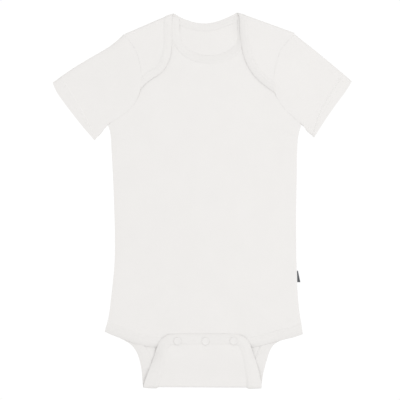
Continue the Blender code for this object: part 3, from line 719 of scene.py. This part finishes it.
def waves(along, spacing, ripple, number=0):
    """Uneven waves along a seam, from -1 to 1; number sets one seam's apart from another's."""
    phase = ripple.wander * np.sin(along / ripple.wander_over + number)
    swell = (1 + ripple.least) / 2 + (1 - ripple.least) / 2 * np.sin(along / ripple.least_over + number)
    return np.sin(2 * math.pi * along / spacing + phase) * swell


def panel_grid(rim, folds):
    """Points inside a panel: a hexagonal grid, and across each fold straight rows instead."""
    grid = hexagonal(rim.min(axis=0), rim.max(axis=0), CLOTH_GRID)
    for fold in folds:
        distance, own = past_line(grid, fold)
        turn, clear = math.pi * fold.radius, CLOTH_GRID / 3
        grid = grid[~(own & (distance > -clear) & (distance < turn + clear))]
        sideways = np.array([-fold.out[1], fold.out[0]])
        reach = np.arange(-fold.half_length - BAND, fold.half_length + BAND, EDGE_STEP)[None, :, None]
        rows = np.linspace(0, turn, FOLD_ROWS + 1)[:, None, None]
        grid = np.concatenate([grid, (fold.origin + rows * fold.out + reach * sideways).reshape(-1, 2)])
    grid = grid[inside(grid, rim)]
    return grid[nearest(grid, rim)[0] > EDGE_CLEAR]


def filled(rim, grid):
    """Points and anticlockwise triangles over the inside of an outline."""
    here = np.arange(len(rim))
    edges = np.column_stack([here, np.roll(here, -1)]).tolist()
    places = [Vector(place) for place in np.concatenate([rim, grid]).tolist()]
    made = delaunay_2d_cdt(places, edges, [], 0, MERGED)
    flat, triangles = np.array([tuple(point) for point in made[0]]), np.array(made[2])
    a, b, c = (flat[triangles[:, i]] for i in range(3))
    clockwise = (b[:, 0] - a[:, 0]) * (c[:, 1] - a[:, 1]) < (b[:, 1] - a[:, 1]) * (c[:, 0] - a[:, 0])
    triangles[clockwise] = triangles[clockwise][:, ::-1]
    return flat, triangles[inside((a + b + c) / 3, rim)]


def panel_shell(name, finish):
    """A panel over its own flat outline, with rounded edges and gathered seams."""
    layer, sewing = LAYERS[name], bpy.context.scene.bodysuit_sewing
    outline = np.concatenate([side[:-1] for side in sides_of(OUTLINES[name], EDGE_STEP)])
    own_layer = BACK_BAND if layer is BACK_CLOTH else FRONT_BAND
    seams = [seam for band, (_, seam) in BINDINGS.items() if LAYERS[band] is own_layer]
    beside = np.min([nearest(outline, curve(seam, DENSE_STEP))[0] for seam in seams], axis=0)
    outline = outline + loop_normals(outline) * (TUCK * (1 - eased(beside, *TUCK_BESIDE)))[:, None]
    rim = outline - loop_normals(outline) * RIM
    flat, triangles = filled(rim, panel_grid(rim, FOLDS if layer is BACK_CLOTH else ()))
    loop = boundary(triangles)
    out = loop_normals(flat[loop])
    spread, through = [flat, flat], [np.zeros(len(flat)), np.ones(len(flat))]
    rings = [loop]
    for row in range(1, RIM_ROWS):
        turn = math.pi * (row / RIM_ROWS - 0.5)
        rings.append(sum(map(len, spread)) + np.arange(len(loop)))
        spread.append(flat[loop] + out * RIM * math.cos(turn))
        through.append(np.full(len(loop), 0.5 + 0.5 * math.sin(turn)))
    rings.append(loop + len(flat))
    spread = np.concatenate(spread)
    points = layer.lay(spread, np.concatenate(through) + gathered(spread, seams, sewing) / layer.wall)
    if layer is FRONT_CLOTH:
        points[:, 2] -= CLOSED * side_seam_dip(spread)
    groups = [triangles[:, ::-1], triangles + len(flat), *map(bridge, rings[:-1], rings[1:])]
    return put_mesh(name.replace("panel", "cloth"), settled(points), groups, finish)


def side_seam_dip(flat):
    """1 at the front's side seams, where it is sewn down to the back, and 0 beyond DIP_REACH."""
    sides = sides_of(OUTLINES["front_panel"], EDGE_STEP)
    seams = [side for side in sides if abs(side[:, 0].mean()) > DIP_BEYOND]
    gap = np.min([nearest(flat, curve(seam, DENSE_STEP))[0] for seam in seams], axis=0)
    return np.clip(1 - gap / DIP_REACH, 0, 1) ** 2


def gathered(flat, seams, sewing):
    """Height of the small uneven waves that stitching draws up beside each seam."""
    rise = np.zeros(len(flat))
    for number, seam in enumerate(seams):
        gap, along = nearest(flat, seam)
        rise += waves(along, sewing.wave / MM, PANEL_RIPPLE, number) * np.exp(-((gap / GATHER_REACH) ** 2))
    return sewing.gather / MM * rise


# ---- bindings

# how a binding's free edge settles: how far it sags, over what width, and how much more of that at the edge
Roll = namedtuple("Roll", "sag width bend")
ROLLS = {
    "neck_binding_back": Roll(0.26, 7.0, 1.8),
    "neck_binding_front": Roll(0.85, 8.5, 1.3),
    "leg_binding_back": Roll(3.8, 10.0, 1.7),
    "leg_binding_front": Roll(0.88, 8.0, 2.2),
}
TAPER = 0.9  # share of the wall by which a binding's upper face comes down at its free edge
FOLDED = 1.1  # distance over which its folded edge rounds
FLUSH = 2.5  # distance over which it comes to the cloth's own thickness at its seam
LAP_SETTLE = (4.0, 20.0)  # lengths past a shoulder fold over which a lap's edge begins to sag
TAB_END = (34.0, 46.0)  # lengths past the crotch fold over which the tab comes onto the flap and is held up
TAB_PINCH, PINCH_REACH = 0.9, 2.4  # how far the snaps press its end down, and how far in from its edge
PINCH_SIDES = (36.0, 44.0)  # places across, beyond the outer snaps, where that ends
HELD = 0.3  # share of its sag that an edge keeps over another binding
TAB_HELD = 0.57  # the same for the tab
HIP_HELD = (56.0, 68.0)  # places across where the front's leg edge comes to lie on the back's binding
NECK_HELD = (414.0, 422.0)  # heights where the front's neck edge does
OVER_NECK = 1.1  # a place is on a binding if its distances to both lines add up to less than this many widths
FOLD_TURN, FOLD_POINTS = math.radians(75), 7  # the round of its folded edge to either side, and points on it
FACE_POINTS = 17  # points across each of its faces
END_IN, END_LEVELS = 0.1, (0.9, 0.1)  # the chamfer at its seam: how far in, and shares of its wall
ROW_WIDTH = 0.7  # half the width of the groove that a row of stitches lies in


def turned_over(flat):
    """For the back's flat cut: shares of how far it is turned over a fold and how freely its edge sags."""
    turned, free = np.zeros(len(flat)), np.zeros(len(flat))
    for fold in FOLDS:
        distance, own = past_line(flat, fold)
        half = math.pi * fold.radius
        past = distance - half
        if fold.name == "crotch":
            sags = eased(past, *TAB_RAMP) * (1 - TAB_HELD * eased(past, *TAB_END))
        else:
            sags = eased(past, *LAP_SETTLE)
        turned = np.where(own, eased(distance, 0.0, half), turned)
        free = np.where(own, sags, free)
    return turned, free


def neck_sag(places):
    """How far the front's neck binding sags under a place, which a lap over it follows."""
    edge, seam = BINDINGS["neck_binding_front"]
    roll, gap = ROLLS["neck_binding_front"], nearest(places, edge)[0]
    free = 1 - (1 - HELD) * eased(places[:, 1], *NECK_HELD)
    over = gap + nearest(places, seam)[0] < OVER_NECK * band_width("neck_binding_front")
    return np.where(over, roll.sag * free * np.clip(1 - gap / roll.width, 0, 1) ** roll.bend, 0.0)


def band_points(name, along, across, through):
    """Points of a binding: mm along its edge, shares across from edge to seam, and up through its wall."""
    layer, roll, width = LAYERS[name], ROLLS[name], band_width(name)
    edge, seam = BINDINGS[name]
    at = lengths(edge)
    rails = np.stack([np.interp(along, at, line[:, i]) for line in (edge, seam) for i in range(2)], axis=1)
    flat = mix(rails[:, :2], rails[:, 2:], across[:, None])
    at_edge = np.clip(1 - across * width / roll.width, 0, 1) ** roll.bend
    at_seam = 1 - eased((1 - across) * width, 0.0, FLUSH)
    if layer is BACK_BAND:
        turned, free = turned_over(flat)
        stands, cloth = proud(flat), CLOTH
    else:
        over = eased(np.abs(flat[:, 0]), *HIP_HELD) if flat[0, 1] < MIDDLE else eased(flat[:, 1], *NECK_HELD)
        turned, free = 0.0, 1 - (1 - HELD) * over
        stands, cloth = 0.0, mix(CLOTH, DOUBLED, eased(flat[:, 1], *DOUBLED_RISE))
    low = TAPER * turned * at_edge + stands / BAND * at_seam
    high = 1 - TAPER * (1 - turned) * at_edge - np.clip(1 - (stands + cloth) / BAND, 0, 1) * at_seam
    points = layer.lay(flat, low + (high - low) * through)
    points[:, 2] -= roll.sag * free * at_edge
    if name == "neck_binding_back":
        points[:, 2] -= turned * neck_sag(points[:, :2])
    if name == "leg_binding_back":
        past = past_line(flat, FOLDS[-1])[0] - math.pi * TAB_RADIUS
        pressed = eased(past, *TAB_END) * (1 - eased(np.abs(flat[:, 0]), *PINCH_SIDES))
        points[:, 2] -= TAB_PINCH * pressed * np.clip(1 - across * width / PINCH_REACH, 0, 1) ** 2
    return points


def stitch_lines(sewing):
    """Distances of a cover stitch's two rows from a binding's seam."""
    return sewing.first_row / MM, (sewing.first_row + sewing.row_gap) / MM


def band_profile(width, sewing):
    """A doubled strip's section: shares across and through, relief in mm, and 1 or -1 on its two faces."""
    half = FOLDED / width
    fold = np.linspace(-FOLD_TURN, FOLD_TURN, FOLD_POINTS)
    flat = np.linspace(half, 1 - END_IN / width, FACE_POINTS)
    across = np.concatenate([half * (1 - np.cos(fold)), flat, [1.0, 1.0], flat[::-1]])
    through = np.concatenate([0.5 + 0.5 * np.sin(fold), np.ones(len(flat)), END_LEVELS, np.zeros(len(flat))])
    side = np.concatenate([np.zeros(len(fold)), np.ones(len(flat)), [0.0, 0.0], -np.ones(len(flat))])
    from_seam = (1 - across) * width
    grooves = sum(np.exp(-(((from_seam - row) / ROW_WIDTH) ** 2)) for row in stitch_lines(sewing))
    return across, through, -sewing.sink / MM * grooves * side, side


def band_shell(name, finish):
    """A doubled strip along its two lines, with a folded edge, two sunken rows and the waves they draw up."""
    sewing, width = bpy.context.scene.bodysuit_sewing, band_width(name)
    along = lengths(BINDINGS[name][0])
    across, through, sunk, side = band_profile(width, sewing)
    ripple = waves(along, sewing.wave / MM * BAND_WAVE, BAND_RIPPLE) * sewing.gather / MM
    swell = side * np.sqrt(np.sin(math.pi * np.clip(across, 0, 1)))
    relief = sunk[None, :] + ripple[:, None] * swell[None, :]
    rings, size = len(along), len(across)
    at, over = np.repeat(along, size), np.tile(across, rings)
    points = settled(band_points(name, at, over, (through[None, :] + relief / BAND).reshape(-1)))
    uv = np.stack([at, over * width], axis=1)
    made = name.replace("_binding", "_band")
    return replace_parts(put_mesh(made, points, closed_tube(rings, size), finish, uv), name)


# ---- sleeves

SLEEVE_AROUND, SLEEVE_STEP = 56, 2.0  # points over one face of a sleeve, and spacing along it
EVENLY = 0.5  # share of that spacing that is even; the rest draws points to its edges
RIM_RING = 0.15  # how far from the armhole the first ring inside lies
HEM_STEP = (-0.004, 0.012)  # shares of its length from the hem's line where the wall thickens
BEFORE_HEM, AFTER_HEM = -0.01, 0.02  # the same for the last ring before that and the first one after
HEM_RINGS, RINGS_AFTER = np.linspace(-0.006, 0.016, 6), 8  # the rings across it, and how many follow


def sleeve_plan(name, s, w):
    """Plan of a sleeve from its four sides; s runs from armhole to cuff, w from its top to its underside."""
    arm, cuff, top, under = SLEEVES[name]
    t = (w - SHEET_EDGE) / (1 - 2 * SHEET_EDGE)
    along, across = s[:, None], t[:, None]
    edges = mix(at_fractions(arm, t), at_fractions(cuff, t), along)
    sides = mix(at_fractions(top, s), at_fractions(under, s), across)
    return edges + sides - mix(mix(arm[0], arm[-1], across), mix(cuff[0], cuff[-1], across), along)


def hem_share(name):
    """Where a sleeve's turned hem begins, as a share of its length."""
    return 1 - HEM / sleeve_length(name)


def sleeve_points(name, s, w, over, inset):
    """Points of a sleeve: over is 1 on its upper face and -1 below, inset 0 outside its wall and 1 inside."""
    top = mix(np.interp(w, *SLEEVE_AT_ARMHOLE), SLEEVE_TOP_FACE, eased(s, 0.0, SETTLED))
    middle = top / 2
    hem = hem_share(name)
    step = HEM_RISE * eased(s, hem + HEM_STEP[0], hem + HEM_STEP[1])
    near_edge = np.clip(np.minimum(w, 1 - w) / TUBE_ROUNDING, 0, 1)
    round_off = np.sqrt(np.clip(1 - (1 - near_edge) ** 2, 0, 1))
    upper = middle + (top + step - inset * (CLOTH + step) - middle) * round_off
    lower = middle + (inset * CLOTH - middle) * round_off
    return np.column_stack([sleeve_plan(name, s, w), np.where(over > 0, upper, lower)])


def sleeve_shell(name, finish):
    """A flattened tube with a raised hem, open at the armhole and the cuff."""
    _, cuff, _, _ = SLEEVES[name]
    length, hem = sleeve_length(name), hem_share(name)
    before = np.linspace(0, hem + BEFORE_HEM, round(length / SLEEVE_STEP))
    after = np.linspace(hem + AFTER_HEM, 1, RINGS_AFTER)
    along = np.unique(np.concatenate([[RIM_RING / length], before, hem + HEM_RINGS, after]))
    share = np.linspace(0, 1, SLEEVE_AROUND)
    half = mix(0.5 - 0.5 * np.cos(math.pi * share), share, EVENLY)
    around = np.concatenate([half, half[-2:0:-1]])
    rings, size = len(along), len(around)
    over = np.tile(np.where(np.arange(size) < SLEEVE_AROUND, 1, -1), rings)
    shells = []
    for inset in (0.0, 1.0):
        edge = inset * TUBE_EDGE / np.linalg.norm(cuff[-1] - cuff[0])
        s, w = np.repeat(along, size), np.tile(edge + around * (1 - 2 * edge), rings)
        shells.append(sleeve_points(name, s, w, over, inset))
    wall, inner = tube_faces(rings, size), rings * size
    first = np.arange(size)
    last = first + inner - size
    groups = [wall, wall[:, ::-1] + inner, bridge(first, first + inner)[:, ::-1], bridge(last, last + inner)]
    points = settled(np.concatenate(shells))
    piece = put_mesh(name.replace("sleeve", "sleeve_cloth"), points, groups, finish)
    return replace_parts(piece, name)


# ---- sewing

STITCH_RINGS, STITCH_SIDES = 5, 6
ARCHED, SUNK = 0.35, 0.25  # a stitch's rise in its middle and its depth in the cloth, as shares of the thread
BLUNT = 0.04  # keeps its ends from being points
PROBE = (0.1, 0.05)  # steps up from the cloth and along the row that give its directions
HEM_ROW = 1.2  # from the hem's line to its first row


def stitch_row(place, total, sewing):
    """Stitches along a line, each a tapered bead: place(distance, lift) gives points at a height on cloth."""
    pitch, thread = (sewing.stitch + sewing.gap) / MM, sewing.thread / MM
    count = int(total / pitch)
    share = np.linspace(-1, 1, STITCH_RINGS)
    start = (np.arange(count) + 0.5) * total / count
    distance = (start[:, None] + share * sewing.stitch / MM / 2).ravel()
    lift = np.tile(thread * (ARCHED * (1 - share**2) - SUNK), count)
    base = place(distance, lift)
    up = unit(place(distance, lift + PROBE[0]) - base)
    beside = unit(np.cross(place(distance + PROBE[1], lift) - base, up))
    radius = np.tile(thread / 2 * np.sqrt(np.minimum(1 + BLUNT - share**2, 1)), count)
    turn = np.arange(STITCH_SIDES)[None, :, None] * 2 * math.pi / STITCH_SIDES
    spokes = np.cos(turn) * beside[:, None] + np.sin(turn) * up[:, None]
    points = (base[:, None] + radius[:, None, None] * spokes).reshape(-1, 3)
    offsets = (np.arange(count) * STITCH_RINGS * STITCH_SIDES)[:, None, None]
    stitch = closed_tube(STITCH_RINGS, STITCH_SIDES)
    return points, [(group[None] + offsets).reshape(-1, group.shape[1]) for group in stitch]


def put_stitches(name, rows, finish):
    """One piece from rows of stitches, which follow the cloth's creases."""
    groups, start = [], 0
    for points, faces in rows:
        groups += [group + start for group in faces]
        start += len(points)
    return put_mesh(name, settled(np.concatenate([points for points, _ in rows])), groups, finish)


def band_stitches(name, finish):
    """Two rows of cover stitch on each face of a binding."""
    sewing, width = bpy.context.scene.bodysuit_sewing, band_width(name)
    edge, seam = BINDINGS[name]
    rows = []
    for from_seam in stitch_lines(sewing):
        at = lengths(mix(seam, edge, from_seam / width))
        for upper in (True, False):

            def place(distance, lift):
                raised = (lift - sewing.sink / MM) / BAND
                along = np.interp(distance, at, lengths(edge))
                across = np.full(len(distance), 1 - from_seam / width)
                return band_points(name, along, across, 1 + raised if upper else -raised)

            rows.append(stitch_row(place, at[-1], sewing))
    return put_stitches(name.replace("_binding", "_stitches"), rows, finish)


def cuff_stitches(name, finish):
    """Two rows of stitches round a sleeve's hem, between the rounds of its edges."""
    sewing = bpy.context.scene.bodysuit_sewing
    _, cuff, _, _ = SLEEVES[name]
    flat = 1 - 2 * TUBE_ROUNDING
    total = np.linalg.norm(cuff[-1] - cuff[0]) * flat
    rows = []
    for from_hem in (HEM_ROW, HEM_ROW + sewing.row_gap / MM):
        at = hem_share(name) + from_hem / sleeve_length(name)
        for over in (1, -1):

            def place(distance, lift):
                w = TUBE_ROUNDING + distance / total * flat
                points = sleeve_points(name, np.full(len(w), at), w, np.full(len(w), over), 0.0)
                return points + np.outer(lift * over, (0, 0, 1))

            rows.append(stitch_row(place, total, sewing))
    return put_stitches(name.replace("sleeve", "cuff_stitches"), rows, finish)


# ---- snaps and label

TURNED_SIDES = 72
CAP_SUNK = 0.27  # how far a cap is pressed into the cloth under it
CAP_PROFILE = (  # a ring cap from its rim in: shares of its radius, and heights as shares of its thickness
    (0.96, 0.0),
    (1.0, 0.1),
    (0.985, 0.2),
    (0.95, 0.3),
    (0.9, 0.39),
    (0.83, 0.45),
    (0.75, 0.47),
    (0.67, 0.45),
    (0.58, 0.4),
    (0.45, 0.37),
)


def snap_cap(number, finish):
    """A ring cap turned about its middle, in the place of its solid."""
    node = f"snap_cap_{number}"
    low, high = (np.array(corner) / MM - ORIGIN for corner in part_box(node))
    low[2] -= CAP_SUNK
    middle, radius, thick = (low + high)[:2] / 2, (high[0] - low[0]) / 2, high[2] - low[2]
    turn = np.arange(TURNED_SIDES) * 2 * math.pi / TURNED_SIDES
    ring = np.stack([np.cos(turn), np.sin(turn)], axis=1)
    points = [
        np.column_stack([middle + ring * radius * out, np.full(TURNED_SIDES, low[2] + thick * up)])
        for out, up in CAP_PROFILE
    ]
    points += [[(*middle, low[2] + thick * up)] for _, up in (CAP_PROFILE[0], CAP_PROFILE[-1])]
    points = settled(np.concatenate(points))
    bottom, top = len(points) - 2, len(points) - 1
    first = np.arange(TURNED_SIDES)
    groups = [
        tube_faces(len(CAP_PROFILE), TURNED_SIDES),
        fan(bottom, first)[:, ::-1],
        fan(top, first + bottom - TURNED_SIDES),
    ]
    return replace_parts(put_mesh(f"snap_ring_{number}", points, groups, finish), node)


LABEL_TURN = 9  # points round the label's fold
LABEL_RINGS = 14
LABEL_HOLLOW = 0.3  # space between its two plies


def label_tape(finish):
    """A narrow blank tape folded double and caught in the side seam, slanting as its solid does."""
    corners, _ = welded("side_label")
    low, high = corners.min(axis=0), corners.max(axis=0)
    wall, middle = (high[2] - low[2] - LABEL_HOLLOW) / 2, (low[2] + high[2]) / 2
    lower, upper = (corners[np.abs(corners[:, 1] - y) < WELD * 5, 0] for y in (low[1], high[1]))
    turn = np.linspace(-math.pi / 2, math.pi / 2, LABEL_TURN)
    fold = np.stack([np.cos(turn), np.sin(turn)], axis=1)
    rings = []
    for share in np.linspace(0, 1, LABEL_RINGS):
        root, tip = mix(lower.min(), upper.min(), share), mix(lower.max(), upper.max(), share)
        outer = (tip - middle, middle) + fold * middle
        inner = (tip - middle, middle) + fold[::-1] * (middle - wall)
        ends = [[root, high[2]], [root, high[2] - wall]], [[root, wall], [root, 0.0]]
        section = np.concatenate([outer, ends[0], inner, ends[1]])
        y = np.full(len(section), mix(low[1], high[1], share))
        rings.append(np.column_stack([np.maximum(section[:, 0], root), y, section[:, 1]]))
    points = settled(np.concatenate(rings))
    groups = closed_tube(LABEL_RINGS, len(rings[0]))
    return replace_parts(put_mesh("label_tape", points, groups, finish, points[:, :2]), "side_label")


# ---- materials

# a knit's wales and courses in mm, and how deep its stitches and nap are in mm
Knit = namedtuple("Knit", "wale course depth")
JERSEY, RIB = Knit(0.72, 0.55, 0.05), Knit(1.3, 0.6, 0.12)
SLANT = 1.2  # how many courses a stitch's leg climbs in a wale's width
LEG_LOW, LEG_RISE = 0.6, 0.8  # its height where it starts, and how much that gains in half a course
NAP_SCALE, NAP_HEIGHT = 1.4, 0.5  # tufts to a mm, and their height as a share of the stitches'
CLOUD_SCALE = 0.03  # patches of uneven tone to a mm
CLOUD_TONE, NAP_TONE = (0.03, 0.985), (0.04, 0.98)  # how much each adds to the colour's share, and its lowest
TAPE_THREAD = 0.35  # mm

COTTON_FINISH = {
    "Roughness": 0.92,
    "IOR": 1.5,
    "Specular IOR Level": 0.2,
    "Sheen Weight": 0.12,
    "Sheen Roughness": 0.5,
}
THREAD_FINISH = {"Roughness": 0.6, "IOR": 1.55, "Sheen Weight": 0.1}
ENAMEL_FINISH = {"Roughness": 0.4, "IOR": 1.5}
TAPE_FINISH = {"Roughness": 0.7, "IOR": 1.55, "Sheen Weight": 0.3}


def add(tree, kind, inputs=(), **settings):
    """A node with its settings, and inputs by name or number: a socket is linked, a value is set."""
    node = tree.nodes.new(kind)
    for key, value in settings.items():
        setattr(node, key, value)
    for key, value in dict(inputs).items():
        if isinstance(value, bpy.types.NodeSocket):
            tree.links.new(value, node.inputs[key])
        else:
            node.inputs[key].default_value = value
    return node


def maths(tree, operation, *inputs):
    return add(tree, "ShaderNodeMath", dict(enumerate(inputs)), operation=operation).outputs[0]


def noise(tree, where, scale, detail, **inputs):
    settings = {"Vector": where, "Scale": scale, "Detail": detail, **inputs}
    return add(tree, "ShaderNodeTexNoise", settings).outputs[0]


def object_place(tree):
    """The garment's own axes, in metres."""
    return add(tree, "ShaderNodeTexCoord").outputs["Object"]


def millimetre_place(tree):
    """Distances along and across a strip, in mm."""
    return add(tree, "ShaderNodeUVMap", uv_map="Millimetres").outputs[0]


def blank(name):
    """A new material with no nodes."""
    made = bpy.data.materials.new(name)
    made.use_nodes = True
    made.node_tree.nodes.clear()
    return made, made.node_tree


def finished(made, colour, finish, height, strength, depth):
    """A material with one surface shader: its colour, its finish, and a relief of some depth in mm."""
    tree = made.node_tree
    bump = add(tree, "ShaderNodeBump", {"Strength": strength, "Distance": depth * MM, "Height": height})
    inputs = {"Base Color": colour, "Normal": bump.outputs[0], **finish}
    shader = add(tree, "ShaderNodeBsdfPrincipled", inputs)
    add(tree, "ShaderNodeOutputMaterial", {"Surface": shader.outputs[0]})
    return made


def cotton(name, colour, knit, place, scale):
    """Cotton knit: columns of V-shaped stitches, nap and faint clouds of tone; scale takes place to mm."""
    made, tree = blank(name)
    where = place(tree)
    split = add(tree, "ShaderNodeSeparateXYZ", {0: where})
    x, y = (maths(tree, "MULTIPLY", split.outputs[i], scale) for i in (0, 1))
    column = maths(tree, "PINGPONG", maths(tree, "DIVIDE", x, knit.wale), 0.5)  # 0 to 0.5 from side to middle
    slant = maths(tree, "MULTIPLY_ADD", column, SLANT, maths(tree, "DIVIDE", y, knit.course))
    leg = maths(tree, "MULTIPLY_ADD", maths(tree, "PINGPONG", slant, 0.5), LEG_RISE, LEG_LOW)
    stitches = maths(tree, "MULTIPLY", maths(tree, "MULTIPLY", column, 2.0), leg)
    nap = noise(tree, where, NAP_SCALE * scale, 3.0, Roughness=0.6)
    cloud = noise(tree, where, CLOUD_SCALE * scale, 2.0)
    tone = maths(tree, "MULTIPLY_ADD", cloud, *CLOUD_TONE)
    fleck = maths(tree, "MULTIPLY_ADD", nap, *NAP_TONE)
    share = maths(tree, "MULTIPLY", tone, fleck)
    tint = add(tree, "ShaderNodeMix", {0: 1.0, 6: colour, 7: share}, data_type="RGBA", blend_type="MULTIPLY")
    height = maths(tree, "MULTIPLY_ADD", nap, NAP_HEIGHT, stitches)
    return finished(made, tint.outputs[2], COTTON_FINISH, height, 0.5, knit.depth)


def jersey():
    """Bleached single jersey: fine wales run up the garment and give a soft, matt, slightly napped face."""
    colour = bpy.context.scene.bodysuit_colours.jersey
    return cotton("bleached_cotton_jersey", colour, JERSEY, object_place, 1 / MM)


def rib():
    """Bleached 1x1 rib, doubled over the edge: its ribs run across the strip."""
    colour = bpy.context.scene.bodysuit_colours.binding
    return cotton("bleached_cotton_rib", colour, RIB, millimetre_place, 1.0)


def thread():
    """Spun polyester: a little smoother than the cotton, so that stitches catch the light."""
    made, tree = blank("spun_polyester_thread")
    twist = noise(tree, object_place(tree), 3 / MM, 2.0)
    return finished(made, bpy.context.scene.bodysuit_colours.thread, THREAD_FINISH, twist, 0.4, 0.05)


def enamel():
    """Baked enamel on brass snap rings: smooth with a soft gloss and a trace of orange peel."""
    made, tree = blank("white_enamelled_brass")
    peel = noise(tree, object_place(tree), 0.8 / MM, 1.0)
    return finished(made, bpy.context.scene.bodysuit_colours.snap, ENAMEL_FINISH, peel, 0.2, 0.02)


def woven_tape():
    """Dark woven polyester tape: a fine plain weave, faintly silky."""
    made, tree = blank("woven_polyester_tape")
    inputs = {"Vector": millimetre_place(tree), "Scale": 1 / TAPE_THREAD}
    weave = add(tree, "ShaderNodeTexChecker", inputs).outputs["Fac"]
    return finished(made, bpy.context.scene.bodysuit_colours.label, TAPE_FINISH, weave, 0.6, 0.08)


# ---- stage (metres)

TABLE_HALF, TABLE_BELOW = 2.0, 0.0005  # half its side, and how far its top lies under the garment
TABLE_GLOW = 1.02
LAMP_SIZE, LAMP_PLACE = 2.0, (0.34, 0.14, 1.7)
SENSOR = 36.0  # mm
CAMERA_OVER = (-0.00266, 0.00073)  # the point of the floor under the camera
WHITE = (1.0, 1.0, 1.0, 1.0)


def put_table():
    """A white surface lit from within, so that nothing on it throws a grey edge."""
    made, tree = blank("lit_table")
    glow = add(tree, "ShaderNodeEmission", {"Color": WHITE, "Strength": TABLE_GLOW})
    add(tree, "ShaderNodeOutputMaterial", {"Surface": glow.outputs[0]})
    mesh = bpy.data.meshes.new("table_top")
    signs = ((-1, -1), (1, -1), (1, 1), (-1, 1))
    mesh.from_pydata([(x * TABLE_HALF, y * TABLE_HALF, -TABLE_BELOW) for x, y in signs], [], [(0, 1, 2, 3)])
    mesh.materials.append(made)
    put("table_top", mesh)


def put_lights(stage):
    """A white dome all round, and one large soft lamp over the table."""
    world = bpy.data.worlds.new("white_dome")
    world.use_nodes = True
    sky = world.node_tree.nodes["Background"]
    sky.inputs["Color"].default_value = WHITE
    sky.inputs["Strength"].default_value = stage.dome
    bpy.context.scene.world = world
    lamp = bpy.data.lights.new("soft_lamp", "AREA")
    lamp.shape, lamp.size, lamp.energy = "DISK", LAMP_SIZE, stage.lamp
    source = put("soft_lamp", lamp)
    source.location = LAMP_PLACE
    source.rotation_euler = (-source.location).to_track_quat("-Z", "Y").to_euler()
    source.visible_camera = False


def put_camera(stage):
    """A camera that looks straight down."""
    eye = bpy.data.cameras.new("camera")
    eye.sensor_width = SENSOR
    eye.lens = SENSOR * stage.height / stage.width
    camera = put("camera", eye)
    camera.location = (*CAMERA_OVER, stage.height)
    bpy.context.scene.camera = camera
    bpy.context.scene.view_settings.view_transform = "Standard"


# ---- operators


class BODYSUIT_OT_panels(bpy.types.Operator):
    """Lay the back and the front panel"""

    bl_idname = "bodysuit.panels"
    bl_label = "Panels"

    def execute(self, context):
        cloth = jersey()
        for name in ("back_panel", "front_panel"):
            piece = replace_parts(panel_shell(name, cloth), name)
        return {"FINISHED"}


class BODYSUIT_OT_sleeves(bpy.types.Operator):
    """Lay the two sleeves with their turned hems"""

    bl_idname = "bodysuit.sleeves"
    bl_label = "Sleeves"

    def execute(self, context):
        cloth = bpy.data.materials["bleached_cotton_jersey"]
        for name in SLEEVES:
            piece = sleeve_shell(name, cloth)
        return {"FINISHED"}


class BODYSUIT_OT_bindings(bpy.types.Operator):
    """Lay the bindings of the neck and the legs"""

    bl_idname = "bodysuit.bindings"
    bl_label = "Bindings"

    def execute(self, context):
        knit = rib()
        for name in BINDINGS:
            piece = band_shell(name, knit)
        return {"FINISHED"}


class BODYSUIT_OT_sewing(bpy.types.Operator):
    """Put the cover stitch on the bindings and the hems"""

    bl_idname = "bodysuit.sewing"
    bl_label = "Sewing"

    def execute(self, context):
        yarn = thread()
        for name in BINDINGS:
            band_stitches(name, yarn)
        for name in SLEEVES:
            cuff_stitches(name, yarn)
        return {"FINISHED"}


class BODYSUIT_OT_snaps(bpy.types.Operator):
    """Set the three snaps"""

    bl_idname = "bodysuit.snaps"
    bl_label = "Snaps"

    def execute(self, context):
        finish = enamel()
        for number in (1, 2, 3):
            snap_cap(number, finish)
            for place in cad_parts[f"snap_socket_{number}"].material_slots:
                place.material = finish
        return {"FINISHED"}


class BODYSUIT_OT_label(bpy.types.Operator):
    """Fold the blank tape into the side seam"""

    bl_idname = "bodysuit.label"
    bl_label = "Side label"

    def execute(self, context):
        piece = label_tape(woven_tape())
        return {"FINISHED"}


class BODYSUIT_OT_stage(bpy.types.Operator):
    """Set the lit table, the dome, the lamp and the camera"""

    bl_idname = "bodysuit.stage"
    bl_label = "Stage"

    def execute(self, context):
        put_table()
        put_lights(context.scene.bodysuit_stage)
        put_camera(context.scene.bodysuit_stage)
        return {"FINISHED"}


class BODYSUIT_PT_sidebar(bpy.types.Panel):
    """The bodysuit's pieces and settings"""

    bl_idname = "BODYSUIT_PT_sidebar"
    bl_label = "Bodysuit"
    bl_space_type = "VIEW_3D"
    bl_region_type = "UI"
    bl_category = "Bodysuit"

    def draw(self, context):
        for operator in OPERATORS:
            self.layout.operator(operator.bl_idname)
        for name in GROUPS:
            box = self.layout.box()
            settings = getattr(context.scene, name)
            for key in settings.__annotations__:
                box.prop(settings, key)


OPERATORS = (
    BODYSUIT_OT_panels,
    BODYSUIT_OT_sleeves,
    BODYSUIT_OT_bindings,
    BODYSUIT_OT_sewing,
    BODYSUIT_OT_snaps,
    BODYSUIT_OT_label,
    BODYSUIT_OT_stage,
)
GROUPS = {
    "bodysuit_sewing": BodysuitSewing,
    "bodysuit_colours": BodysuitColours,
    "bodysuit_stage": BodysuitStage,
}
CLASSES = (*GROUPS.values(), *OPERATORS, BODYSUIT_PT_sidebar)


def register():
    for made in CLASSES:
        bpy.utils.register_class(made)
    for name, group in GROUPS.items():
        setattr(bpy.types.Scene, name, bpy.props.PointerProperty(type=group))


def unregister():
    for name in GROUPS:
        delattr(bpy.types.Scene, name)
    for made in reversed(CLASSES):
        bpy.utils.unregister_class(made)


def main():
    register()
    for operator in OPERATORS:
        section, name = operator.bl_idname.split(".")
        getattr(getattr(bpy.ops, section), name)()


if __name__ == "__main__":
    main()
